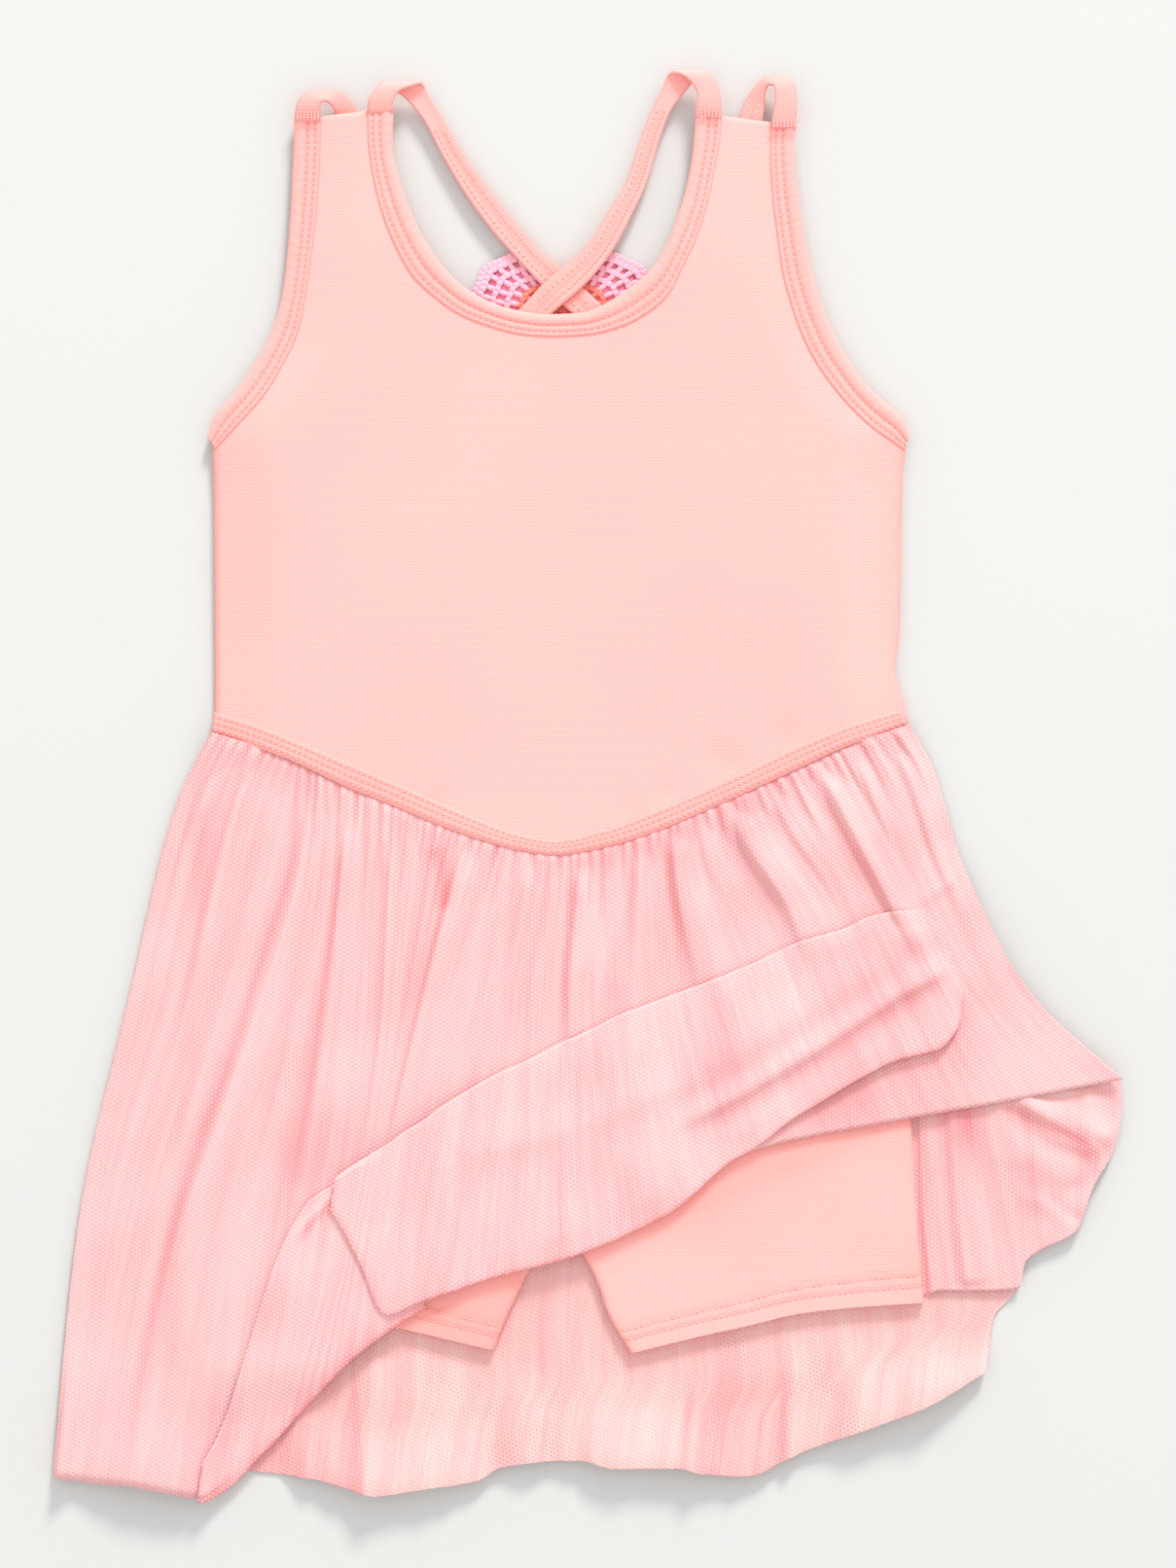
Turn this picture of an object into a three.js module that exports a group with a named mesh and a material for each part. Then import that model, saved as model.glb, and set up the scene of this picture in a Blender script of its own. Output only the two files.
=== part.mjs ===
import * as THREE from "three";

// Child's tutu dress lying on its back. Millimetres, +X to the wearer's right arm
// as seen from above, +Y to the shoulders, +Z up from the surface it rests on.

const WALL = 1.2;
const SKIRT_WALL = 1.4;
const STRAP_THICKNESS = 1.4;
const SEAM = 0.3;
const LAYER = SKIRT_WALL + 0.35;
const BINDING_WALL = 1.1;
const SHORTS_BACK_Z = 1.5;
const SHORTS_FRONT_Z = 3.0;
const SKIRT_OVER_SHORTS = 4.85;
const SKIRT_ON_BACK = 1.6;
const HEART_THICKNESS = 2.5;
const SKIRT_COLUMNS = 104;
const GATHERS = 26;

const clamp = (value, low, high) => Math.min(high, Math.max(low, value));
const mix = (a, b, t) => a + (b - a) * t;
const ramp = (value) => {
  const t = clamp(value, 0, 1);
  return t * t * (3 - 2 * t);
};

// Monotone cubic through (knots, values).
function smooth(knots, values) {
  const last = knots.length - 1;
  const step = knots.slice(1).map((knot, i) => knot - knots[i]);
  const slope = step.map((width, i) => (values[i + 1] - values[i]) / width);
  const tangent = knots.map((_, i) => {
    if (i === 0) return slope[0];
    if (i === last) return slope[last - 1];
    if (slope[i - 1] * slope[i] <= 0) return 0;
    const before = 2 * step[i] + step[i - 1];
    const after = step[i] + 2 * step[i - 1];
    return (before + after) / (before / slope[i - 1] + after / slope[i]);
  });
  return (at) => {
    let i = 0;
    while (i < last - 1 && at > knots[i + 1]) i += 1;
    const t = clamp((at - knots[i]) / step[i], 0, 1);
    const t2 = t * t;
    const t3 = t2 * t;
    return (
      (2 * t3 - 3 * t2 + 1) * values[i] +
      (t3 - 2 * t2 + t) * step[i] * tangent[i] +
      (3 * t2 - 2 * t3) * values[i + 1] +
      (t3 - t2) * step[i] * tangent[i + 1]
    );
  };
}

// A smooth curve through points, read by its share of length from 0 to 1.
function curve(points) {
  const along = [0];
  for (let i = 1; i < points.length; i += 1) {
    const dx = points[i][0] - points[i - 1][0];
    const dy = points[i][1] - points[i - 1][1];
    along.push(along[i - 1] + Math.hypot(dx, dy));
  }
  const knots = along.map((length) => length / along[along.length - 1]);
  const tracks = points[0].map((_, axis) => smooth(knots, points.map((point) => point[axis])));
  return (t) => tracks.map((track) => track(t));
}

const part = (path, from, to) => (t) => path(mix(from, to, t));
const line = (a, b) => (t) => a.map((value, axis) => mix(value, b[axis], t));
const reversed = (path) => (t) => path(1 - t);
const shifted = (path, dx, dy) => (t) => {
  const [x, y] = path(t);
  return [x + dx, y + dy];
};

// Patch between four edges: low and high run left to right, left and right run low to high.
function patchBetween(low, high, left, right) {
  const corners = [low(0), low(1), high(0), high(1)];
  return (s, t) =>
    [0, 1].map((axis) => {
      const across = mix(left(t)[axis], right(t)[axis], s);
      const upward = mix(low(s)[axis], high(s)[axis], t);
      const flat = mix(
        mix(corners[0][axis], corners[1][axis], s),
        mix(corners[2][axis], corners[3][axis], s),
        t
      );
      return across + upward - flat;
    });
}

// Rows of cells; each cell holds the lower and the upper point of the cloth.
function cells(columns, rows, pointAt) {
  const s = Array.isArray(columns) ? columns : spread(columns);
  const t = Array.isArray(rows) ? rows : spread(rows);
  return s.map((u, i) => t.map((v, j) => pointAt(u, v, i, j)));
}

const spread = (count) => Array.from({ length: count + 1 }, (_, i) => i / count);

const slab = (place, under, wall) => (s, t) => {
  const [x, y] = place(s, t);
  const z = under(x, y, s, t);
  const thick = typeof wall === "function" ? wall(x, y, s, t) : wall;
  return { low: [x, y, z], high: [x, y, z + thick] };
};

const group = new THREE.Group();
group.name = "tutu_dress";

// One closed body from patches that share their common edges.
function cloth(name, colour, patches) {
  const points = [];
  const index = new Map();
  const keyOf = (point) => point.map((value) => Math.round(value * 2000)).join(",");
  const vertex = (point, side) => {
    const key = `${side}:${keyOf(point)}`;
    if (!index.has(key)) {
      index.set(key, points.length);
      points.push(point);
    }
    return index.get(key);
  };
  const faces = [];
  const edges = new Map();
  const addTop = (a, b, c) => {
    const ring = [a, b, c];
    if (new Set(ring.map((corner) => corner.high)).size < 3) return;
    faces.push([a.high, b.high, c.high], [c.low, b.low, a.low]);
    ring.forEach((corner, i) => {
      const next = ring[(i + 1) % 3];
      const back = `${next.high}>${corner.high}`;
      if (edges.has(back)) edges.delete(back);
      else edges.set(`${corner.high}>${next.high}`, [corner, next]);
    });
  };
  for (const patch of patches) {
    const ids = patch.map((row) =>
      row.map((cell) => ({ low: vertex(cell.low, "low"), high: vertex(cell.high, "high") }))
    );
    for (let i = 0; i + 1 < ids.length; i += 1) {
      for (let j = 0; j + 1 < ids[i].length; j += 1) {
        addTop(ids[i][j], ids[i + 1][j], ids[i + 1][j + 1]);
        addTop(ids[i][j], ids[i + 1][j + 1], ids[i][j + 1]);
      }
    }
  }
  for (const [a, b] of edges.values()) {
    faces.push([a.high, a.low, b.low], [a.high, b.low, b.high]);
  }
  const geometry = new THREE.BufferGeometry();
  geometry.setAttribute("position", new THREE.Float32BufferAttribute(points.flat(), 3));
  geometry.setIndex(faces.flat());
  geometry.computeVertexNormals();
  const material = new THREE.MeshStandardMaterial({ color: colour, roughness: 0.9 });
  material.name = `${name}_cloth`;
  const mesh = new THREE.Mesh(geometry, material);
  mesh.name = name;
  group.add(mesh);
  return mesh;
}

const JERSEY = 0xffd6ce;
const BINDING = 0xffd2c8;
const TULLE = 0xffc8cb;
const CROCHET = 0xf8bcd6;

// Outline of the bodice.
const waistPoints = [
  [-150.7, 20.7], [-134.0, 15.6], [-116.8, 9.0], [-97.3, -0.4], [-77.8, -8.2], [-58.3, -16.4],
  [-39.2, -23.0], [-25.5, -26.5], [-11.9, -28.1], [-0.2, -26.5], [17.4, -22.2], [34.5, -16.0],
  [52.1, -8.2], [69.6, -0.4], [87.2, 7.8], [106.3, 16.4], [121.9, 21.4], [128.9, 23.8],
];
const waistHeight = smooth(waistPoints.map((point) => point[0]), waistPoints.map((point) => point[1]));
const waistSpan = (from, to, drop) => (t) => {
  const x = mix(from, to, t);
  return [x, waistHeight(x) - drop];
};
const waistLine = waistSpan(-150.7, 128.9, 0);
const leftSide = curve([[-150.7, 20.7], [-149.0, 31.6], [-149.2, 61.2], [-149.6, 110.0], [-150.3, 138.5]]);
const rightSide = curve([
  [128.9, 23.8], [127.7, 31.6], [123.8, 45.6], [125.4, 61.2], [126.6, 119.7], [128.0, 138.0],
]);
const leftArmhole = curve([
  [-150.3, 138.5], [-140.6, 156.4], [-131.2, 168.1], [-124.6, 179.8], [-120.3, 194.2],
  [-118.0, 211.0], [-116.4, 229.3], [-115.6, 244.9], [-115.6, 267.2],
]);
const rightArmhole = curve([
  [128.0, 138.0], [119.9, 149.5], [112.1, 156.9], [104.5, 166.9], [97.3, 178.8], [91.8, 192.7],
  [87.1, 209.0], [84.0, 225.8], [81.7, 242.2], [80.5, 258.6], [82.0, 264.8],
]);
const neckEdge = curve([
  [-82.5, 270.7], [-83.0, 256.0], [-80.5, 241.0], [-75.0, 224.0], [-68.0, 210.0], [-59.5, 200.0],
  [-48.0, 191.5], [-34.0, 186.6], [-12.7, 184.2], [4.0, 186.2], [16.0, 190.8], [27.0, 198.8],
  [34.5, 209.0], [41.0, 225.0], [45.0, 240.0], [48.5, 255.0], [49.5, 268.7],
]);

const SHOULDER_SPLIT_LEFT = 0.42;
const SHOULDER_SPLIT_RIGHT = 0.44;
const NECK_SPLIT_LEFT = 0.335;
const NECK_SPLIT_RIGHT = 0.66;

const sideLimits = (() => {
  const heights = [-40, 20, 61, 120, 138, 156, 180, 211, 245, 290];
  const left = smooth(
    heights,
    [-150.7, -150.7, -149.2, -149.8, -150.3, -140.6, -124.6, -118, -115.6, -115.6]
  );
  const right = smooth(heights, [128.9, 128.9, 125.4, 126.6, 128, 112.1, 97.3, 87.1, 81.7, 80.5]);
  return { left, right };
})();

// Height of the underside of the bodice front over the surface.
function bodiceUnder(x, y) {
  const rim = mix(1.5, 3.5, ramp((y - 118) / 40));
  const crown = mix(mix(4.8, 5.8, ramp((y + 20) / 60)), 4.8, ramp((y - 205) / 50));
  const inside = Math.min(x - sideLimits.left(y), sideLimits.right(y) - x);
  return mix(rim, crown, ramp(inside / 28));
}
const bodiceTop = (x, y) => bodiceUnder(x, y) + WALL;

const leftSplitLine = line(leftArmhole(SHOULDER_SPLIT_LEFT), neckEdge(NECK_SPLIT_LEFT));
const rightSplitLine = line(neckEdge(NECK_SPLIT_RIGHT), rightArmhole(SHOULDER_SPLIT_RIGHT));
const shoulderColumns = 5;
const neckColumns = 12;
const bodiceColumns = 2 * shoulderColumns + neckColumns;

function joined(paths, counts) {
  const total = counts.reduce((sum, count) => sum + count, 0);
  return (t) => {
    let place = t * total;
    let i = 0;
    while (i < counts.length - 1 && place > counts[i]) {
      place -= counts[i];
      i += 1;
    }
    return paths[i](clamp(place / counts[i], 0, 1));
  };
}

const bodiceBody = patchBetween(
  waistLine,
  joined(
    [leftSplitLine, part(neckEdge, NECK_SPLIT_LEFT, NECK_SPLIT_RIGHT), rightSplitLine],
    [shoulderColumns, neckColumns, shoulderColumns]
  ),
  joined([leftSide, part(leftArmhole, 0, SHOULDER_SPLIT_LEFT)], [5, 6]),
  joined([rightSide, part(rightArmhole, 0, SHOULDER_SPLIT_RIGHT)], [5, 6])
);
const leftShoulder = patchBetween(
  leftSplitLine,
  line(leftArmhole(1), neckEdge(0)),
  part(leftArmhole, SHOULDER_SPLIT_LEFT, 1),
  part(neckEdge, NECK_SPLIT_LEFT, 0)
);
const rightShoulder = patchBetween(
  rightSplitLine,
  line(neckEdge(1), rightArmhole(1)),
  part(neckEdge, NECK_SPLIT_RIGHT, 1),
  part(rightArmhole, SHOULDER_SPLIT_RIGHT, 1)
);

cloth("bodice_front", JERSEY, [
  cells(bodiceColumns, 11, slab(bodiceBody, bodiceUnder, WALL)),
  cells(shoulderColumns, 8, slab(leftShoulder, bodiceUnder, WALL)),
  cells(shoulderColumns, 8, slab(rightShoulder, bodiceUnder, WALL)),
]);

// The back of the bodice lies flat on the surface.
const backTop = curve([
  [-149.3, 136.0], [-118.4, 128.3], [-71.6, 120.9], [-11.1, 116.6],
  [51.3, 120.9], [96.1, 128.3], [126.8, 136.0],
]);
const bodiceBack = patchBetween(
  waistSpan(-149.7, 127.9, 0),
  backTop,
  line([-149.7, waistHeight(-149.7)], [-149.3, 136.0]),
  curve([
    [127.9, waistHeight(127.9)], [126.7, 31.6], [122.8, 45.6], [124.4, 61.2], [125.6, 119.7], [126.8, 136.0],
  ])
);
cloth("bodice_back", JERSEY, [cells(20, 3, slab(bodiceBack, () => 0, WALL))]);

// A folded binding: a strip on the panel that steps down past the panel's edge.
function binding(name, inner, edge, outer, count, topOf, underOf) {
  const along = spread(count);
  const patch = along.map((t) => {
    const [ix, iy] = inner(t);
    const [ex, ey] = edge(t);
    const [ox, oy] = outer(t);
    const reach = Math.hypot(ox - ex, oy - ey);
    const dx = (ox - ex) / reach;
    const dy = (oy - ey) / reach;
    const at = (distance) => [ex + dx * distance, ey + dy * distance];
    const [sx, sy] = at(0.5);
    const [px, py] = at(0.7);
    const upper = (x, y) => topOf(x, y) + SEAM;
    return [
      { low: [ix, iy, upper(ix, iy)], high: [ix, iy, upper(ix, iy) + BINDING_WALL] },
      { low: [sx, sy, upper(sx, sy)], high: [sx, sy, upper(sx, sy) + BINDING_WALL + 0.25] },
      { low: [px, py, underOf(px, py)], high: [px, py, upper(px, py) + BINDING_WALL + 0.2] },
      { low: [ox, oy, underOf(ox, oy)], high: [ox, oy, upper(ox, oy) + 0.3] },
    ];
  });
  return cloth(name, BINDING, [patch]);
}

const neckInner = curve([
  [-87.9, 270.7], [-87.9, 261.7], [-86.8, 250.0], [-84.4, 237.1], [-80.9, 225.4], [-75.9, 213.7],
  [-69.6, 203.2], [-61.8, 195.8], [-51.3, 188.4], [-38.4, 183.3], [-25.5, 180.2], [-12.7, 179.4],
  [0.6, 180.2], [13.5, 183.3], [23.6, 188.4], [32.6, 196.2], [37.6, 205.9], [44.3, 220.3],
  [48.6, 234.4], [51.3, 247.7], [53.2, 258.6], [54.0, 268.7],
]);
const neckOuter = curve([
  [-77.8, 270.7], [-78.2, 256.2], [-75.9, 244.9], [-72.0, 233.2], [-66.9, 221.5], [-60.3, 211.0],
  [-52.5, 202.0], [-42.3, 195.0], [-29.4, 190.3], [-16.6, 188.4], [-3.3, 188.8], [6.8, 192.3],
  [15.8, 198.1], [25.2, 205.9], [30.2, 212.6], [35.7, 225.8], [40.0, 239.8], [42.7, 255.1], [43.7, 268.7],
]);
const leftArmInner = curve([
  [-149.2, 134.9], [-137.9, 146.6], [-128.9, 156.8], [-121.9, 168.5], [-116.0, 181.3], [-112.9, 195.8],
  [-111.0, 208.7], [-109.0, 224.2], [-107.8, 239.5], [-107.1, 252.3], [-106.7, 267.5],
]);
const leftArmOuter = curve([
  [-152.3, 139.6], [-149.2, 147.8], [-140.8, 158.0], [-132.6, 170.0], [-126.8, 181.0], [-122.5, 194.6],
  [-120.2, 211.0], [-118.8, 229.3], [-118.0, 244.9], [-117.4, 257.8], [-117.2, 267.5],
]);
const rightArmInner = curve([
  [127.3, 134.6], [114.5, 143.1], [106.7, 150.2], [99.3, 158.7], [91.5, 169.7], [86.0, 180.6],
  [81.7, 192.7], [78.2, 205.9], [76.2, 220.3], [74.3, 236.7], [73.5, 253.1], [74.0, 265.0],
]);
const rightArmOuter = curve([
  [129.3, 140.4], [126.6, 147.0], [119.9, 152.9], [112.1, 160.3], [105.5, 169.3], [99.3, 180.2],
  [94.0, 192.9], [89.3, 209.1], [86.2, 225.9], [83.9, 242.3], [82.8, 257.0], [84.0, 265.0],
]);
binding("neck_binding", neckInner, neckEdge, neckOuter, 34, bodiceTop, bodiceUnder);
binding("armhole_binding_left", leftArmInner, leftArmhole, leftArmOuter, 18, bodiceTop, bodiceUnder);
binding(
  "armhole_binding_right", reversed(rightArmInner), reversed(rightArmhole), reversed(rightArmOuter),
  18, bodiceTop, bodiceUnder
);

const BACK_BINDING_HALF = 5;
const backEdge = part(backTop, 0.03, 0.97);
binding(
  "back_binding", shifted(backEdge, 0, -BACK_BINDING_HALF), backEdge, shifted(backEdge, 0, BACK_BINDING_HALF),
  16, () => WALL, () => 0
);

// Straps: each row is one step along the strap, with both edges of its middle surface.
const strapRows = {
  strap_left_inner: [
    { lx: -87.9, ly: 271.1, lz: 7.2, rx: -77.8, ry: 271.3, rz: 7.2 },
    { lx: -87.4, ly: 274.4, lz: 8.0, rx: -77.2, ry: 274.8, rz: 8.2 },
    { lx: -85.2, ly: 277.7, lz: 8.2, rx: -74.6, ry: 277.9, rz: 8.2 },
    { lx: -82.9, ly: 280.4, lz: 7.3, rx: -68.4, ry: 280.4, rz: 7.3 },
    { lx: -82.1, ly: 281.2, lz: 6.0, rx: -66.1, ry: 281.2, rz: 6.0 },
    { lx: -80.1, ly: 280.0, lz: 4.7, rx: -64.9, ry: 279.6, rz: 4.7 },
    { lx: -74.7, ly: 277.0, lz: 4.0, rx: -63.4, ry: 276.6, rz: 4.0 },
    { lx: -66.9, ly: 268.7, lz: 3.7, rx: -57.9, ry: 267.5, rz: 3.7 },
    { lx: -57.9, ly: 252.3, lz: 3.6, rx: -48.9, ry: 252.3, rz: 3.6 },
    { lx: -48.9, ly: 237.1, lz: 3.6, rx: -38.4, ry: 238.3, rz: 3.6 },
    { lx: -38.4, ly: 222.7, lz: 3.6, rx: -27.9, ry: 225.4, rz: 3.6 },
    { lx: -27.9, ly: 211.0, lz: 3.6, rx: -18.9, ry: 214.9, rz: 3.6 },
    { lx: -16.6, ly: 198.9, lz: 3.6, rx: -9.6, ry: 206.7, rz: 3.6 },
    { lx: -1.4, ly: 184.9, lz: 3.6, rx: 5.7, ry: 192.7, rz: 3.6 },
    { lx: 26.3, ly: 155.2, lz: 3.6, rx: 33.3, ry: 162.2, rz: 3.6 },
    { lx: 42.3, ly: 134.9, lz: 3.7, rx: 50.1, ry: 140.8, rz: 3.7 },
    { lx: 48.2, ly: 124.8, lz: 3.75, rx: 56.0, ry: 130.3, rz: 3.75 },
  ],
  strap_right_inner: [
    { lx: 43.5, ly: 269.4, lz: 7.2, rx: 53.9, ry: 269.4, rz: 7.2 },
    { lx: 44.1, ly: 276.0, lz: 8.2, rx: 53.4, ry: 276.4, rz: 8.2 },
    { lx: 41.1, ly: 281.6, lz: 8.2, rx: 51.3, ry: 282.0, rz: 8.2 },
    { lx: 36.1, ly: 285.0, lz: 7.3, rx: 48.6, ry: 285.0, rz: 7.3 },
    { lx: 33.7, ly: 285.5, lz: 6.0, rx: 47.0, ry: 285.5, rz: 6.0 },
    { lx: 32.2, ly: 284.3, lz: 4.7, rx: 44.7, ry: 284.3, rz: 4.7 },
    { lx: 30.6, ly: 280.4, lz: 4.0, rx: 40.0, ry: 278.9, rz: 4.0 },
    { lx: 26.3, ly: 271.8, lz: 3.8, rx: 33.7, ry: 270.7, rz: 3.8 },
    { lx: 21.3, ly: 259.0, lz: 4.0, rx: 29.4, ry: 260.1, rz: 4.0 },
    { lx: 15.8, ly: 242.2, lz: 4.3, rx: 24.4, ry: 243.0, rz: 4.3 },
    { lx: 8.0, ly: 229.3, lz: 4.9, rx: 18.1, ry: 228.9, rz: 4.9 },
    { lx: 0.2, ly: 216.5, lz: 5.4, rx: 9.9, ry: 213.7, rz: 5.4 },
    { lx: -10.3, ly: 207.1, lz: 5.45, rx: -2.5, ry: 198.9, rz: 5.45 },
    { lx: -16.6, ly: 202.0, lz: 5.4, rx: -9.0, ry: 193.4, rz: 5.35 },
    { lx: -22.6, ly: 195.6, lz: 4.6, rx: -15.6, ry: 187.6, rz: 4.5 },
    { lx: -53.6, ly: 162.2, lz: 3.6, rx: -46.6, ry: 155.2, rz: 3.6 },
    { lx: -70.4, ly: 140.8, lz: 3.7, rx: -62.6, ry: 134.9, rz: 3.7 },
    { lx: -76.2, ly: 130.3, lz: 3.75, rx: -68.4, ry: 124.8, rz: 3.75 },
  ],
  strap_left_outer: [
    { lx: -117.0, ly: 267.9, lz: 6.2, rx: -106.9, ry: 267.9, rz: 6.2 },
    { lx: -116.0, ly: 273.0, lz: 7.4, rx: -106.7, ry: 271.8, rz: 7.6 },
    { lx: -112.9, ly: 276.9, lz: 7.0, rx: -105.9, ry: 273.4, rz: 8.0 },
    { lx: -106.7, ly: 278.5, lz: 6.0, rx: -104.7, ry: 273.8, rz: 7.4 },
    { lx: -100.4, ly: 278.5, lz: 4.8, rx: -103.2, ry: 273.0, rz: 6.0 },
    { lx: -95.4, ly: 275.3, lz: 3.4, rx: -101.6, ry: 271.1, rz: 4.2 },
    { lx: -92.2, ly: 270.7, lz: 2.3, rx: -100.8, ry: 267.9, rz: 2.6 },
    { lx: -90.3, ly: 262.1, lz: 2.0, rx: -99.6, ry: 260.5, rz: 2.0 },
    { lx: -88.7, ly: 236.7, lz: 2.0, rx: -98.5, ry: 236.7, rz: 2.0 },
    { lx: -88.7, ly: 186.0, lz: 2.0, rx: -98.5, ry: 186.0, rz: 2.0 },
    { lx: -91.1, ly: 152.0, lz: 2.4, rx: -100.8, ry: 152.0, rz: 2.4 },
    { lx: -92.2, ly: 134.9, lz: 3.7, rx: -102.0, ry: 137.3, rz: 3.7 },
    { lx: -92.6, ly: 124.0, lz: 3.75, rx: -102.4, ry: 126.0, rz: 3.75 },
  ],
  strap_right_outer: [
    { lx: 74.0, ly: 265.4, lz: 6.4, rx: 83.8, ry: 265.4, rz: 6.2 },
    { lx: 75.1, ly: 273.4, lz: 7.6, rx: 84.0, ry: 273.8, rz: 7.4 },
    { lx: 75.1, ly: 278.1, lz: 8.0, rx: 83.3, ry: 280.4, rz: 7.0 },
    { lx: 74.3, ly: 280.4, lz: 7.4, rx: 79.0, ry: 283.5, rz: 6.0 },
    { lx: 72.7, ly: 280.4, lz: 6.0, rx: 72.3, ry: 283.9, rz: 4.8 },
    { lx: 71.6, ly: 277.7, lz: 4.2, rx: 66.9, ry: 279.6, rz: 3.4 },
    { lx: 71.2, ly: 271.8, lz: 2.7, rx: 63.0, ry: 273.4, rz: 2.3 },
    { lx: 70.0, ly: 260.9, lz: 2.0, rx: 60.3, ry: 262.5, rz: 2.0 },
    { lx: 71.2, ly: 236.7, lz: 2.0, rx: 61.4, ry: 236.7, rz: 2.0 },
    { lx: 73.5, ly: 186.0, lz: 2.0, rx: 63.8, ry: 186.0, rz: 2.0 },
    { lx: 75.9, ly: 152.0, lz: 2.4, rx: 66.1, ry: 152.0, rz: 2.4 },
    { lx: 76.6, ly: 134.9, lz: 3.7, rx: 66.9, ry: 134.0, rz: 3.7 },
    { lx: 77.0, ly: 126.0, lz: 3.75, rx: 67.3, ry: 124.5, rz: 3.75 },
  ],
};

function strap(name, steps) {
  const rows = strapRows[name];
  const path = curve(rows.map((row) => [
    (row.lx + row.rx) / 2, (row.ly + row.ry) / 2, (row.lz + row.rz) / 2,
    row.lx, row.ly, row.lz, row.rx, row.ry, row.rz,
  ]));
  const middle = (s, t) => {
    const row = path(t);
    const left = new THREE.Vector3(row[3], row[4], row[5]);
    const right = new THREE.Vector3(row[6], row[7], row[8]);
    return left.lerp(right, s);
  };
  const delta = 0.002;
  const patch = cells(2, steps, (s, t) => {
    const centre = middle(s, t);
    const across = middle(1, t).sub(middle(0, t));
    const along = middle(s, Math.min(1, t + delta)).sub(middle(s, Math.max(0, t - delta)));
    const normal = across.cross(along).normalize().multiplyScalar(STRAP_THICKNESS / 2);
    const high = centre.clone().add(normal);
    const low = centre.clone().sub(normal);
    return { low: low.toArray(), high: high.toArray() };
  });
  cloth(name, BINDING, [patch]);
}
strap("strap_left_inner", 46);
strap("strap_right_inner", 46);
strap("strap_left_outer", 36);
strap("strap_right_outer", 36);

// Crocheted heart under the crossing of the straps.
const HEART_CENTRE = [-9.5, 186.5];
const HEART_HALF_WIDTH = 37;
const HEART_HALF_HEIGHT = 36.5;
function heartPoint(turn, share) {
  const angle = turn * 2 * Math.PI;
  const x = Math.sin(angle) ** 3;
  const lobes = 13 * Math.cos(angle) - 5 * Math.cos(2 * angle);
  const y = (lobes - 2 * Math.cos(3 * angle) - Math.cos(4 * angle)) / 16;
  const scallop = 1 + 0.018 * Math.cos(20 * angle);
  return [
    HEART_CENTRE[0] + HEART_HALF_WIDTH * x * share * scallop,
    HEART_CENTRE[1] + HEART_HALF_HEIGHT * (y * share * scallop + 0.06 * (1 - share)),
  ];
}
cloth("crochet_heart", CROCHET, [
  cells([0, 0.3, 0.55, 0.8, 1], 40, (share, turn) => {
    const [x, y] = heartPoint(turn === 1 ? 0 : turn, share);
    const relief = share === 0.55 || share === 1 ? 0.5 : 0;
    return { low: [x, y, 0], high: [x, y, HEART_THICKNESS - relief] };
  }).reverse(),
]);

// Waist band, a strip on the bodice along the seam.
const bandTop = curve([
  [-149.6, 29.2], [-134.0, 24.4], [-107.1, 13.7], [-77.8, 1.2], [-48.8, -11.5], [-29.4, -19.1],
  [-13.8, -22.2], [5.7, -18.3], [28.9, -9.6], [57.9, 3.1], [87.2, 16.8], [106.5, 24.4], [126.2, 30.2],
]);
cloth("waist_band", BINDING, [
  cells(36, 2, slab(
    (s, t) => {
      const low = waistLine(s);
      const high = bandTop(s);
      return [mix(low[0], high[0], t), mix(low[1], high[1], t)];
    },
    (x, y) => bodiceTop(x, y) + SEAM,
    (x, y, s, t) => (t > 0.4 && t < 0.6 ? 1.1 : 0.95)
  )),
]);

// Shorts, flat under the skirt, each half a front on a back.
const leftWaist = waistSpan(-145.7, -11.85, 0.8);
const rightWaist = waistSpan(-11.5, 122.6, 0.8);
const shortsLeftOuter = curve([
  leftWaist(0), [-148.0, -2.3], [-148.4, -53.8], [-151.1, -88.1],
  [-152.3, -116.6], [-155.8, -153.3], [-158.9, -206.3],
]);
const shortsLeftHem = curve([
  [-158.9, -206.3], [-137.1, -208.3], [-86.8, -215.7], [-79.4, -217.2], [-37.6, -227.0],
]);
const shortsRightHem = curve([
  [17.7, -228.2], [44.7, -221.5], [64.2, -217.2], [85.6, -212.2], [107.1, -209.8], [135.1, -207.9],
]);
const shortsRightOuter = curve([
  rightWaist(1), [124.2, -18.7], [125.4, -45.6], [127.3, -75.3],
  [130.1, -135.7], [132.0, -168.5], [135.1, -207.9],
]);
const leftInnerLeg = curve([
  leftWaist(1), [-11.85, -100], [-11.85, -172.0], [-22.8, -193.8], [-33.0, -215.3], [-37.6, -227.0],
]);
const rightInnerLeg = curve([
  rightWaist(0), [-11.5, -100], [-11.5, -172.0], [-1.8, -188.0],
  [4.1, -199.7], [8.0, -211.4], [17.7, -228.2],
]);

function shortsPiece(name, low, high, outer, inner, isLeft, under) {
  const place = isLeft ? patchBetween(low, high, outer, inner) : patchBetween(low, high, inner, outer);
  const rows = under > 2 ? [0, 0.037, 0.042, 0.25, 0.6, 1] : [0, 0.25, 0.6, 1];
  const wall = (x, y, s, t) => (t < 0.04 ? WALL + 0.35 : WALL);
  cloth(name, JERSEY, [cells(8, rows, slab(place, () => under, under > 2 ? wall : WALL))]);
}
for (const [layer, under] of [["back", SHORTS_BACK_Z], ["front", SHORTS_FRONT_Z]]) {
  shortsPiece(`shorts_${layer}_left`, shortsLeftHem, leftWaist,
    reversed(shortsLeftOuter), reversed(leftInnerLeg), true, under);
  shortsPiece(`shorts_${layer}_right`, shortsRightHem, rightWaist,
    reversed(shortsRightOuter), reversed(rightInnerLeg), false, under);
}

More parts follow.
